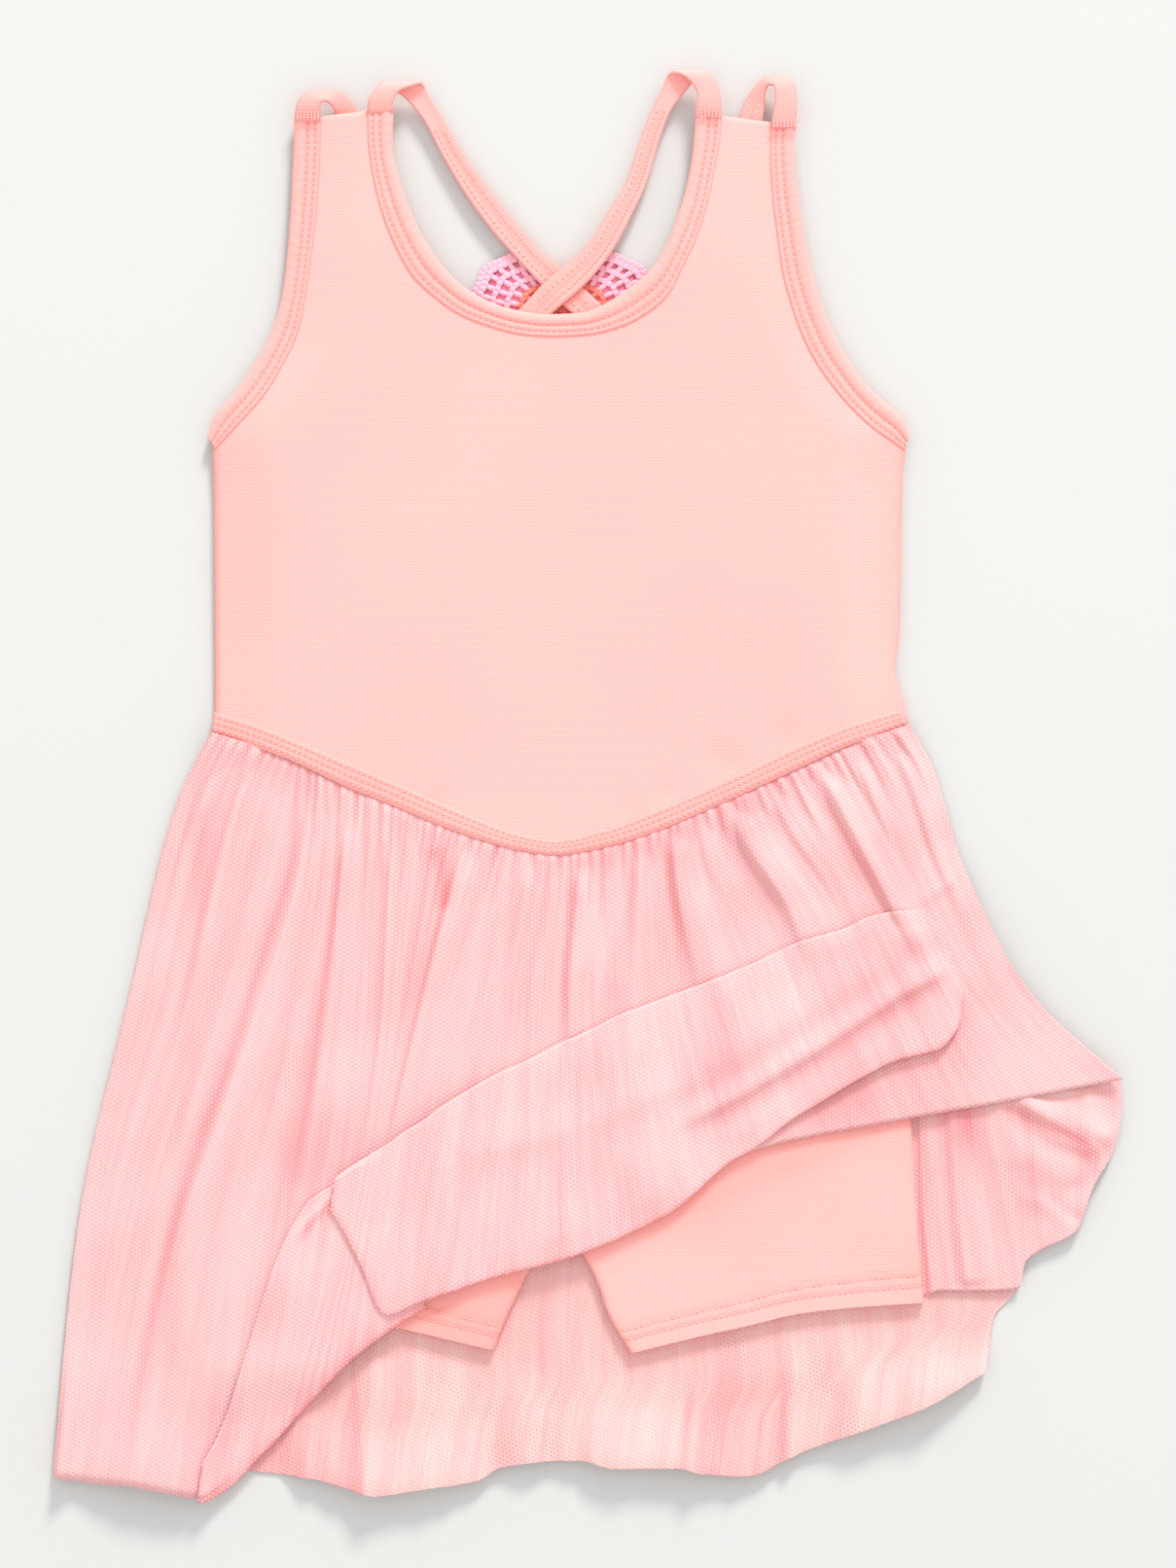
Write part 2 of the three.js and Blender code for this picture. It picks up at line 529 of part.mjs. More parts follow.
// Skirt front. Each row is one column of cloth from the waist to its lower edge.
const skirtColumns = [
  {
    u: 0.000, waist: [-150.7, 20.3], top: [-164.4, -6.2],
    upper: [-183.1, -81.1], lower: [-204.9, -179.4], edge: [-214.7, -277.3],
  },
  {
    u: 0.092, waist: [-125.0, 11.7], top: [-133.2, -9.8],
    upper: [-152.7, -87.0], lower: [-180.8, -180.6], edge: [-198.3, -280.0],
  },
  {
    u: 0.141, waist: [-111.3, 6.2], top: [-114.1, -24.2],
    upper: [-134.4, -95.2], lower: [-165.6, -188.0], edge: [-184.3, -280.4],
  },
  {
    u: 0.169, waist: [-103.5, 2.3], top: [-105.5, -26.5],
    upper: [-117.6, -96.7], lower: [-138.6, -188.4], edge: [-151.9, -286.3],
  },
  {
    u: 0.199, waist: [-95.0, -1.9], top: [-97.3, -29.2],
    upper: [-105.1, -97.1], lower: [-118.4, -185.2], edge: [-133.2, -271.4],
  },
  {
    u: 0.265, waist: [-76.6, -9.4], top: [-78.6, -34.3],
    upper: [-82.5, -94.8], lower: [-96.1, -177.5], edge: [-113.7, -250.0],
  },
  {
    u: 0.372, waist: [-46.6, -21.1], top: [-53.2, -41.0],
    upper: [-67.7, -93.6], lower: [-82.9, -162.6], edge: [-93.0, -229.0],
  },
  {
    u: 0.450, waist: [-25.0, -27.1], top: [-28.0, -42.0],
    upper: [-37.0, -90.0], lower: [-45.0, -150.0], edge: [-50.0, -201.5],
  },
  {
    u: 0.529, waist: [-2.9, -27.6], top: [-3.7, -44.5],
    upper: [-6.8, -84.6], lower: [-6.0, -137.3], edge: [-4.5, -188.4],
  },
  {
    u: 0.600, waist: [17.0, -22.8], top: [16.8, -37.0],
    upper: [16.0, -74.0], lower: [21.0, -121.5], edge: [31.2, -172.6],
  },
  {
    u: 0.662, waist: [34.5, -16.6], top: [34.9, -29.6],
    upper: [40.8, -63.6], lower: [52.1, -106.9], edge: [63.0, -149.0],
  },
  {
    u: 0.746, waist: [57.9, -6.2], top: [61.8, -18.3],
    upper: [80.9, -49.1], lower: [98.9, -94.8], edge: [117.6, -137.0],
  },
  {
    u: 0.866, waist: [91.5, 9.3], top: [98.5, -3.5],
    upper: [116.8, -38.2], lower: [141.0, -85.0], edge: [164.4, -128.7],
  },
  {
    u: 1.000, waist: [128.9, 23.3], top: [137.9, 9.4],
    upper: [150.7, -31.6], lower: [176.1, -81.1], edge: [215.6, -119.0],
  },
];
const STATIONS = { waist: 0, top: 0.1, upper: 0.36, lower: 0.68, edge: 1 };
const skirtPlace = (() => {
  const knots = skirtColumns.map((column) => column.u);
  const names = Object.keys(STATIONS);
  const levels = Object.values(STATIONS);
  const tracks = names.map((name) =>
    [0, 1].map((axis) => smooth(knots, skirtColumns.map((column) => column[name][axis])))
  );
  const waistX = tracks[0][0];
  tracks[0][1] = (u) => waistHeight(waistX(u)) - 0.4;
  return (u, v) => [0, 1].map((axis) => smooth(levels, tracks.map((track) => track[axis](u)))(v));
})();

// Long folds of the front: where they lie, how high and wide they are, and where they start and end.
const skirtFolds = [
  { u: 0.075, height: 2.0, width: 0.015, start: 0.02, end: 0.34 },
  { u: 0.141, height: 2.4, width: 0.014, start: 0.04, end: 1.30 },
  { u: 0.199, height: 3.0, width: 0.014, start: 0.04, end: 0.80 },
  { u: 0.265, height: 1.4, width: 0.016, start: 0.04, end: 0.28 },
  { u: 0.372, height: 2.8, width: 0.016, start: 0.02, end: 0.66 },
  { u: 0.459, height: 1.8, width: 0.014, start: 0.01, end: 0.16 },
  { u: 0.529, height: 2.8, width: 0.015, start: 0.01, end: 0.55 },
  { u: 0.610, height: 1.3, width: 0.014, start: 0.01, end: 0.26 },
  { u: 0.662, height: 2.4, width: 0.015, start: 0.01, end: 0.55 },
  { u: 0.746, height: 2.8, width: 0.015, start: 0.02, end: 0.60 },
  { u: 0.866, height: 2.8, width: 0.016, start: 0.02, end: 0.75 },
  { u: 0.910, height: 1.5, width: 0.013, start: 0.01, end: 0.18 },
  { u: 0.965, height: 1.7, width: 0.014, start: 0.06, end: 0.45 },
];

// The turned-up cloth: share of each column where its raw hem and its lower edge lie.
const cornerRows = [
  { u: 0.160, hem: 0.985 },
  { u: 0.173, hem: 0.890 },
  { u: 0.180, hem: 0.806 },
  { u: 0.190, hem: 0.687 },
  { u: 0.199, hem: 0.639 },
  { u: 0.210, hem: 0.612 },
  { u: 0.232, hem: 0.600 },
  { u: 0.250, hem: 0.618 },
  { u: 0.265, hem: 0.630 },
  { u: 0.300, hem: 0.640 },
  { u: 0.340, hem: 0.660 },
  { u: 0.372, hem: 0.680 },
  { u: 0.400, hem: 0.700 },
  { u: 0.420, hem: 0.700 },
];
const middleRows = [
  { u: 0.232, hem: 0.587, low: 0.632 },
  { u: 0.250, hem: 0.576, low: 0.662 },
  { u: 0.265, hem: 0.572, low: 0.685 },
  { u: 0.300, hem: 0.574, low: 0.730 },
  { u: 0.340, hem: 0.585, low: 0.775 },
  { u: 0.372, hem: 0.589, low: 0.830 },
  { u: 0.400, hem: 0.570, low: 0.937 },
  { u: 0.420, hem: 0.541, low: 0.967 },
  { u: 0.450, hem: 0.508, low: 0.992 },
  { u: 0.490, hem: 0.484, low: 0.992 },
  { u: 0.529, hem: 0.463, low: 0.992 },
  { u: 0.580, hem: 0.467, low: 0.992 },
  { u: 0.620, hem: 0.478, low: 0.992 },
  { u: 0.662, hem: 0.482, low: 0.985 },
  { u: 0.700, hem: 0.474, low: 0.915 },
  { u: 0.746, hem: 0.455, low: 0.846 },
  { u: 0.790, hem: 0.457, low: 0.816 },
  { u: 0.830, hem: 0.444, low: 0.813 },
  { u: 0.866, hem: 0.446, low: 0.768 },
  { u: 0.900, hem: 0.455, low: 0.680 },
  { u: 0.920, hem: 0.464, low: 0.663 },
  { u: 0.940, hem: 0.480, low: 0.620 },
  { u: 0.960, hem: 0.495, low: 0.578 },
  { u: 0.975, hem: 0.508, low: 0.546 },
  { u: 1.000, hem: 0.520, low: 0.535 },
];
const track = (rows, name) => smooth(rows.map((row) => row.u), rows.map((row) => row[name]));
const cornerHem = track(cornerRows, "hem");
const middleHem = track(middleRows, "hem");
const middleLow = track(middleRows, "low");
const CORNER_START = 0.165;
const CORNER_END = 0.425;
const MIDDLE_START = 0.232;
const MIDDLE_END = 0.972;

const shortsLimit = (() => {
  const heights = [-290, -206, -153, -88, -54, -2, 30];
  const left = smooth(heights, [-158.9, -158.9, -155.8, -151.1, -148.4, -148.0, -145.7]);
  const right = smooth(heights, [136.0, 135.1, 131.0, 128.0, 125.6, 124.2, 122.6]);
  return { left, right };
})();

// Height of the skirt front's underside without its folds.
function skirtBase(x, y) {
  const overLeftLeg = ramp((x - shortsLimit.left(y) + 13) / 11);
  const overRightLeg = Math.max(
    ramp((shortsLimit.right(y) + 13 - x) / 11),
    ramp((-20 - y) / 30)
  );
  const below = ramp((y + 258) / 28);
  return mix(SKIRT_ON_BACK, SKIRT_OVER_SHORTS, Math.min(overLeftLeg, overRightLeg, below));
}

function skirtUnder(u, v) {
  const [x, y] = skirtPlace(u, v);
  const gatherFade = mix(0.6, 1, ramp(v / 0.03)) * (1 - ramp((v - 0.04) / 0.13));
  const phase = 2 * Math.PI * GATHERS * u;
  const gather = 1.3 * gatherFade * (0.5 - 0.5 * Math.cos(phase)) * (0.75 + 0.25 * Math.sin(5.3 * phase));
  const hemAt = u < MIDDLE_START ? cornerHem(u) : middleHem(u);
  const covered = 1 - 0.75 * ramp((v - hemAt) / 0.12);
  let folds = 0;
  for (const fold of skirtFolds) {
    const rise = ramp((v - fold.start) / 0.07);
    const fall = 1 - ramp((v - fold.end + 0.12) / 0.18);
    const offset = (u - fold.u) / (u < fold.u ? fold.width * 0.8 : fold.width * 1.5);
    folds = Math.max(folds, fold.height * rise * fall * Math.exp(-offset * offset));
  }
  const hemWave = 0.5 * ramp((v - 0.8) / 0.2) * (0.5 - 0.5 * Math.cos(60 * Math.PI * u));
  const edgeWave = u < 0.17 ? hemWave : 0;
  const edgeFade = ramp(u / 0.02) * ramp((1 - u) / 0.02);
  return skirtBase(x, y) + edgeFade * (Math.max(gather, folds * covered) + edgeWave);
}

const columnShares = spread(SKIRT_COLUMNS);
const skirtRows = [0, 0.02, 0.05, 0.1, 0.18, 0.28, 0.4, 0.5, 0.6, 0.72, 0.86, 1];
const NEAR_ROW = 0.015;
const NEAR_COLUMN = 0.004;
const FOLD_BACK = 0.008;
const lastRow = (u) => 1 - FOLD_BACK * ramp((u - 0.165) / 0.01);

function frontPoint(u, row) {
  const v = row * lastRow(u);
  const [x, y] = skirtPlace(u, v);
  return [x, y, skirtUnder(u, v)];
}
cloth("skirt_front", TULLE, [
  cells(columnShares, skirtRows, (u, row) => {
    const [x, y, z] = frontPoint(u, row);
    return { low: [x, y, z], high: [x, y, z + SKIRT_WALL] };
  }).reverse(),
]);

// A point on the front's underside as it is built, straight between its rows.
function onFront(u, v) {
  const row = clamp(v / lastRow(u), 0, 1);
  let i = 0;
  while (i < skirtRows.length - 2 && row > skirtRows[i + 1]) i += 1;
  const share = (row - skirtRows[i]) / (skirtRows[i + 1] - skirtRows[i]);
  return line(frontPoint(u, skirtRows[i]), frontPoint(u, skirtRows[i + 1]))(share);
}

// Turned-up cloth lies on the front's own columns; its fold runs half round to the front's edge.
function turnedUp(name, from, to, hemOf, lowOf, liftOf, roundOf) {
  const shares = columnShares.filter((u) => u > from && u < to);
  const radius = LAYER / 2;
  const turns = [0.5, 1];
  const patch = shares.map((u) => {
    const low = lowOf(u);
    const hem = Math.min(hemOf(u), low - 0.012);
    const flat = skirtRows.map((row) => {
      const inside = clamp(row * lastRow(u), hem, low);
      const v = inside - hem < NEAR_ROW ? hem : low - inside < NEAR_ROW ? low : inside;
      const [x, y, under] = onFront(u, v);
      const z = under + liftOf(u, v);
      return { low: [x, y, z], high: [x, y, z + SKIRT_WALL] };
    });
    const lowAt = (share) => onFront(share, lowOf(share));
    const end = onFront(u, low);
    const before = lowAt(Math.max(from, u - NEAR_COLUMN));
    const after = lowAt(Math.min(to, u + NEAR_COLUMN));
    const length = Math.hypot(after[0] - before[0], after[1] - before[1]);
    const out = [(after[1] - before[1]) / length, (before[0] - after[0]) / length];
    const middle = end[2] + liftOf(u, low) + SKIRT_WALL / 2 - radius;
    const start = SEAM + 0.1;
    const bend = roundOf(u);
    const rounds = turns.map((share) => {
      const angle = Math.PI / 2 - share * mix(0.35, Math.PI, bend);
      const at = (distance) => {
        const reach = start * (bend > 0.5 ? 1 : 0.5) + Math.cos(angle) * distance;
        return [end[0] + out[0] * reach, end[1] + out[1] * reach, middle + Math.sin(angle) * distance];
      };
      return { low: at(radius - SKIRT_WALL / 2), high: at(radius + SKIRT_WALL / 2) };
    });
    return [...flat, ...rounds];
  });
  cloth(name, TULLE, [patch.reverse()]);
}
turnedUp("skirt_turned_corner", CORNER_START, CORNER_END, cornerHem, lastRow, () => LAYER, () => 1);

// The middle of the turned-up front lies over the corner at its left.
function middleLift(u, v) {
  const overCorner = 1 - ramp((u - 0.43) / 0.03);
  const pullAt = mix(0.95, 0.55, (u - 0.55) / 0.35);
  const pull = 1.2 * Math.exp(-(((v - pullAt) / 0.05) ** 2)) * ramp((u - 0.5) / 0.08);
  const lifted = 1.4 * ramp((u - 0.66) / 0.08) * ramp((v - middleLow(u) + 0.12) / 0.12);
  return LAYER * (1 + overCorner) + Math.max(0, pull) + lifted;
}
const middleRound = (u) => (u > 0.455 && u < 0.625 ? 1 : 0);
turnedUp("skirt_turned_middle", MIDDLE_START, MIDDLE_END, middleHem, middleLow, middleLift, middleRound);

// Side of the skirt that falls out from under the front at the right.
const sideLow = curve([
  [136.0, -206.8], [142.2, -203.2], [158.5, -203.2], [173.4, -202.0], [176.1, -191.5], [181.5, -187.2],
  [196.0, -179.4], [203.4, -161.1], [210.4, -149.4],
]);
const sideHigh = curve([
  [131.2, -122.1], [135.1, -122.1], [144.9, -121.3], [154.6, -119.7], [166.3, -118.2], [178.0, -116.6],
  [189.7, -115.0], [199.5, -114.3], [212.0, -118.8],
]);
const sidePlace = patchBetween(
  sideLow, sideHigh,
  curve([[136.0, -206.8], [134.6, -191.9], [132.6, -168.5], [131.2, -122.1]]),
  line([210.4, -149.4], [212.0, -118.8])
);
cloth("skirt_side_fall", TULLE, [
  cells(28, 5, slab(
    sidePlace,
    (x, y, s, t) => {
      const wave = 0.5 - 0.5 * Math.cos(2 * Math.PI * (7 * s + 0.3 * Math.sin(9 * s)));
      return 1.5 + wave * mix(2.2, 0.7, ramp(t / 0.75)) * ramp(s / 0.06) * ramp((1 - s) / 0.05);
    },
    WALL
  )),
]);

// Back of the skirt on the surface; it waves only below the shorts.
const backHem = curve([
  [-211.2, -273.4], [-184.7, -274.9], [-139.4, -275.7], [-129.3, -276.5], [-109.8, -278.5], [-95.7, -282.0],
  [-85.2, -284.7], [-64.5, -282.0], [-43.9, -279.2], [-34.9, -274.2], [-15.4, -271.4], [-1.8, -271.1],
  [9.9, -273.8], [36.9, -273.8], [46.6, -276.1], [64.2, -277.3], [82.5, -269.5], [95.4, -264.4],
  [111.0, -258.6], [126.2, -253.1], [137.9, -248.0], [160.1, -235.6],
]);
const backPlace = patchBetween(
  backHem,
  waistSpan(-148.7, 126.9, 0.6),
  curve([
    [-211.2, -273.4], [-201.9, -179.4], [-180.6, -81.1], [-161.9, -6.2],
    [-148.7, waistHeight(-148.7) - 0.6],
  ]),
  curve([
    [160.1, -235.6], [161.7, -225.8], [164.0, -213.7], [173.0, -201.6], [171.0, -184.5],
    [172.2, -133.8], [166.3, -79.2], [148.8, -36.3], [126.9, waistHeight(126.9) - 0.6],
  ])
);
const backFolds = [
  { x: -88.0, height: 1.8, width: 7 },
  { x: -60.0, height: 1.0, width: 12 },
  { x: -24.0, height: 1.6, width: 9 },
  { x: 8.0, height: 1.1, width: 10 },
  { x: 43.0, height: 2.2, width: 5 },
  { x: 80.0, height: 2.2, width: 6 },
  { x: 108.0, height: 1.5, width: 9 },
  { x: 134.0, height: 1.4, width: 8 },
];
const hemOfShorts = smooth(
  [-215, -159, -86, -37, -12, 18, 64, 135, 175],
  [-222, -222, -216, -227, -228, -228, -217, -212, -216]
);
function backUnder(x, y) {
  const below = ramp((hemOfShorts(x) - 4 - y) / 26);
  let height = 0;
  for (const fold of backFolds) {
    height = Math.max(height, fold.height * Math.exp(-(((x - fold.x) / fold.width) ** 2)));
  }
  return height * below * ramp((x + 118) / 14);
}
cloth("skirt_back", TULLE, [
  cells(52, [0, 0.06, 0.12, 0.18, 0.25, 0.6, 1], slab(backPlace, backUnder, WALL)),
]);

export default group;
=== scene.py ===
"""Child's tutu dress laid flat: jersey bodice and shorts, crossed straps, crocheted heart, tulle skirt."""

import logging
import math
import random
from collections.abc import Callable, Sequence
from dataclasses import dataclass
from enum import Enum

import bmesh
import bpy
import numpy as np
from mathutils import Matrix, Vector


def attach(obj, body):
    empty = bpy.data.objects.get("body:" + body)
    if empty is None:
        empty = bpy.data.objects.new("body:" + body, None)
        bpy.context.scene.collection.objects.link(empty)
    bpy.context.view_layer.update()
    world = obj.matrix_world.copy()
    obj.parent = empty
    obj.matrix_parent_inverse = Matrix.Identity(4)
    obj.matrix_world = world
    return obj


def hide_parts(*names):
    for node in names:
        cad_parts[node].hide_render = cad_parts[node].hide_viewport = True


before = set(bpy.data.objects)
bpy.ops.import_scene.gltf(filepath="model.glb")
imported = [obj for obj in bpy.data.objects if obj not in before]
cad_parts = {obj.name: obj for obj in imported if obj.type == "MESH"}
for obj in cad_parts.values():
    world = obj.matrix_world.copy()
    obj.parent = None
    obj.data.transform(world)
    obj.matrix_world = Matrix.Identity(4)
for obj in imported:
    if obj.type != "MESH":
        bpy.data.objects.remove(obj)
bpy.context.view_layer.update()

log = logging.getLogger("tutu_dress")

Array = np.ndarray
Path = Callable[[Array], Array]
Points = Sequence[Sequence[float]]
Socket = bpy.types.NodeSocket

# Sizes are in millimetres until a mesh is made. Heights are those of the cloth's middle or underside.
MM = 0.001
JERSEY_WALL = 0.8
TULLE_WALL = 0.35
LAYER = 1.75
SHORTS_BACK_Z = 1.5
SHORTS_FRONT_Z = 3.0
SKIRT_OVER_SHORTS = 4.85
SKIRT_ON_BACK = 1.6


class Slot(Enum):
    """Material slots of the record."""

    JERSEY = "jersey"
    BINDING = "binding"
    CROCHET = "crochet"
    TULLE = "tulle"


class Held(Enum):
    """How a sheet of cloth is held."""

    LAID = "laid"
    GATHERED = "gathered"
    FOLDED = "folded"


def mix(low: Array, high: Array, share: Array) -> Array:
    """Return the value between low and high at share."""
    return low + (high - low) * share


def ramp(value: Array) -> Array:
    """Return an eased step from 0 to 1 as value goes from 0 to 1."""
    t = np.clip(value, 0.0, 1.0)
    return t * t * (3 - 2 * t)


def bump(offset: Array, width: float) -> Array:
    """Return a bell of height 1 at offset 0."""
    return np.exp(-((offset / width) ** 2))


def run_lengths(points: Array) -> Array:
    """Return how far along a line each of its points lies."""
    steps = np.linalg.norm(np.diff(points, axis=0), axis=1)
    return np.concatenate([[0.0], np.cumsum(steps)])


class Track:
    """Monotone cubic through values at rising knots; a value may be a number or a row of numbers."""

    def __init__(self, knots: Sequence[float], values: Sequence) -> None:
        """Work out the slope at each knot.

        Args:
            knots: Rising places.
            values: A number, or a row of numbers, at each knot.
        """
        self.knots = np.asarray(knots, float)
        self.values = np.asarray(values, float)
        width = np.diff(self.knots).reshape((-1,) + (1,) * (self.values.ndim - 1))
        slope = np.diff(self.values, axis=0) / width
        before = 2 * width[1:] + width[:-1]
        after = width[1:] + 2 * width[:-1]
        same_way = slope[:-1] * slope[1:] > 0
        safe_low = np.where(same_way, slope[:-1], 1.0)
        safe_high = np.where(same_way, slope[1:], 1.0)
        inner = np.where(same_way, (before + after) / (before / safe_low + after / safe_high), 0.0)
        self.tangent = np.concatenate([slope[:1], inner, slope[-1:]])

    def __call__(self, at: Array) -> Array:
        """Read the track.

        Args:
            at: Places between the first and the last knot.

        Returns:
            The values at these places.
        """
        at = np.asarray(at, float)
        i = np.clip(np.searchsorted(self.knots, at) - 1, 0, len(self.knots) - 2)
        width = self.knots[i + 1] - self.knots[i]
        t = np.clip((at - self.knots[i]) / width, 0, 1)

        def pick(table: Array, index: Array) -> Array:
            """Return the table's rows at index."""
            return table[index] if table.ndim == 1 else np.take_along_axis(table, index, axis=0)

        t2 = t * t
        t3 = t2 * t
        return (
            (2 * t3 - 3 * t2 + 1) * pick(self.values, i)
            + (t3 - 2 * t2 + t) * width * pick(self.tangent, i)
            + (3 * t2 - 2 * t3) * pick(self.values, i + 1)
            + (t3 - t2) * width * pick(self.tangent, i + 1)
        )


class Curve:
    """Smooth curve through points, read by its share of length."""

    def __init__(self, points: Points) -> None:
        """Measure the points along their first two axes.

        Args:
            points: Points on the curve, each with two or more numbers.
        """
        table = np.asarray(points, float)
        along = run_lengths(table[:, :2])
        self.tracks = [Track(along / along[-1], column) for column in table.T]

    def __call__(self, share: Array) -> Array:
        """Return the points at the shares of length."""
        return np.stack([track(share) for track in self.tracks], axis=-1)


def line(start: Array, end: Array) -> Path:
    """Make a straight path.

    Args:
        start: Its first point.
        end: Its last point.

    Returns:
        The path.
    """
    first = np.asarray(start, float)
    last = np.asarray(end, float)
    return lambda t: first + (last - first) * np.asarray(t)[..., None]


def stretch(path: Path, start: float, end: float) -> Path:
    """Return the stretch of a path between two shares; a higher start turns it round."""
    return lambda t: path(mix(start, end, np.asarray(t, float)))


def shifted(path: Path, dx: float, dy: float) -> Path:
    """Return a path moved sideways."""
    return lambda t: path(t)[..., :2] + np.array([dx, dy])


def joined(paths: Sequence[Path], counts: Sequence[int]) -> Path:
    """Join paths that meet end to end.

    Args:
        paths: The paths in order.
        counts: The count of equal steps that each takes.

    Returns:
        One path made of them all.
    """
    total = sum(counts)

    def read(t: Array) -> Array:
        """Read the joined path.

        Args:
            t: Shares of all the steps.

        Returns:
            The points there.
        """
        place = np.asarray(t, float) * total
        result = np.zeros(place.shape + (2,))
        start = 0
        for path, count in zip(paths, counts):
            inside = (place >= start) & (place <= start + count)
            piece = path(np.clip((place - start) / count, 0, 1))[..., :2]
            result = np.where(inside[..., None], piece, result)
            start += count
        return result

    return read


def patch(low: Path, high: Path, left: Path, right: Path) -> Callable[[Array, Array], Array]:
    """Span a surface between four edges.

    Args:
        low: The lower edge, from left to right.
        high: The upper edge, from left to right.
        left: The left edge, upward.
        right: The right edge, upward.

    Returns:
        A function that gives the points at shares across and upward.
    """
    ends = np.array([0.0, 1.0])
    low_left, low_right = low(ends)[:, :2]
    high_left, high_right = high(ends)[:, :2]

    def place(s: Array, t: Array) -> Array:
        """Read the surface.

        Args:
            s: Shares across.
            t: Shares upward.

        Returns:
            The points there.
        """
        across = mix(left(t)[..., :2], right(t)[..., :2], s[..., None])
        upward = mix(low(s)[..., :2], high(s)[..., :2], t[..., None])
        bottom = mix(low_left, low_right, s[..., None])
        top = mix(high_left, high_right, s[..., None])
        return across + upward - mix(bottom, top, t[..., None])

    return place


def shares(columns: int, rows: int) -> tuple[Array, Array]:
    """Return the shares across and upward of a grid's points."""
    return np.meshgrid(np.linspace(0, 1, columns + 1), np.linspace(0, 1, rows + 1))


def undulation(x: Array, y: Array, seed: int, length: float, waves: int = 7) -> Array:
    """Make a soft irregular relief.

    Args:
        x: Places across.
        y: Places upward.
        seed: Chooses the waves.
        length: Mean wave length in millimetres.
        waves: How many waves are added up.

    Returns:
        Heights between about -1 and 1.
    """
    chance = random.Random(seed)
    total = np.zeros_like(x)
    for _ in range(waves):
        angle = chance.uniform(0, math.pi)
        pitch = length * chance.uniform(0.6, 1.6)
        phase = chance.uniform(0, 2 * math.pi)
        along = x * math.cos(angle) + y * math.sin(angle)
        total = total + np.sin(2 * math.pi * along / pitch + phase)
    return total / 4


@dataclass(frozen=True)
class Crease:
    """A ridge or a crease that runs along a line on the cloth.

    Heights are in millimetres; left is to the left of the line's own direction. Its tint is painted shade
    beside the line, and a painted highlight where the tint is negative.
    """

    points: tuple[tuple[float, float], ...]
    height: float = 0.0
    left: float = 3.0
    right: float = 3.0
    tint: float = 0.0
    tint_at: float = 0.0
    tint_width: float = 2.0
    fade: float = 0.15

    def apply(self, x: Array, y: Array) -> tuple[Array, Array]:
        """Work out what the crease does to the cloth.

        Args:
            x: Places across.
            y: Places upward.

        Returns:
            The height, and the painted shade (a painted highlight where negative) that it adds at each place.
        """
        knots = np.asarray(self.points, float)
        steps = np.diff(knots, axis=0)
        starts = run_lengths(knots)
        nearest = np.full(x.shape, np.inf)
        side = np.zeros(x.shape)
        along = np.zeros(x.shape)
        for start, step, run, length in zip(knots, steps, starts, np.diff(starts)):
            dx = x - start[0]
            dy = y - start[1]
            share = np.clip((dx * step[0] + dy * step[1]) / length**2, 0, 1)
            gap = np.hypot(dx - share * step[0], dy - share * step[1])
            closer = gap < nearest
            nearest = np.where(closer, gap, nearest)
            side = np.where(closer, np.sign(step[0] * dy - step[1] * dx), side)
            along = np.where(closer, run + share * length, along)
        share = along / starts[-1]
        ends = ramp(share / self.fade) * ramp((1 - share) / self.fade)
        offset = nearest * side
        width = np.where(offset > 0, self.left, self.right)
        height = self.height * bump(offset, width) * ends
        tint = self.tint * bump(offset - self.tint_at, self.tint_width) * ends
        return height, tint


def add_creases(
    creases: Sequence[Crease], x: Array, y: Array, z: Array, painted_shade_and_tone: Array
) -> tuple[Array, Array]:
    """Press creases into cloth.

    Args:
        creases: The creases.
        x: Places across.
        y: Places upward.
        z: Heights.
        painted_shade_and_tone: Depths of colour.

    Returns:
        The heights and the depths of colour with the creases.
    """
    for crease in creases:
        rise, shade = crease.apply(x, y)
        z = z + rise
        painted_shade_and_tone = painted_shade_and_tone + shade
    return z, painted_shade_and_tone


def rgb(code: str) -> tuple[float, float, float, float]:
    """Turn a colour from sRGB to linear.

    Args:
        code: The colour as six hex digits.

    Returns:
        Red, green, blue and alpha.
    """
    parts = [int(code[i : i + 2], 16) / 255 for i in (0, 2, 4)]
    linear = [c / 12.92 if c <= 0.04045 else ((c + 0.055) / 1.055) ** 2.4 for c in parts]
    return (linear[0], linear[1], linear[2], 1.0)


def add_node(
    tree: bpy.types.NodeTree, kind: str, inputs: dict | None = None, output: int | str = 0, **settings: object
) -> Socket:
    """Add a shader node.

    Args:
        tree: The nodes that it joins.
        kind: Blender's name for the node, without its first word.
        inputs: A value or an output socket for each input, by name or number.
        output: The name or number of the output to return.
        settings: The node's own settings.

    Returns:
        The output, or None where the node has none.
    """
    node = tree.nodes.new(f"ShaderNode{kind}")
    for key, value in settings.items():
        setattr(node, key, value)
    for key, value in (inputs or {}).items():
        socket = node.inputs[key]
        if isinstance(value, Socket):
            tree.links.new(value, socket)
        else:
            socket.default_value = value
    return node.outputs[output] if node.outputs else None


def empty_material(name: str) -> tuple[bpy.types.Material, bpy.types.NodeTree, Socket]:
    """Start a material.

    Args:
        name: What the real finish is.

    Returns:
        The material, its nodes, and the socket that gives a place on the object in metres.
    """
    material = bpy.data.materials.new(name)
    material.use_nodes = True
    tree = material.node_tree
    tree.nodes.clear()
    return material, tree, add_node(tree, "TexCoord", output="Object")


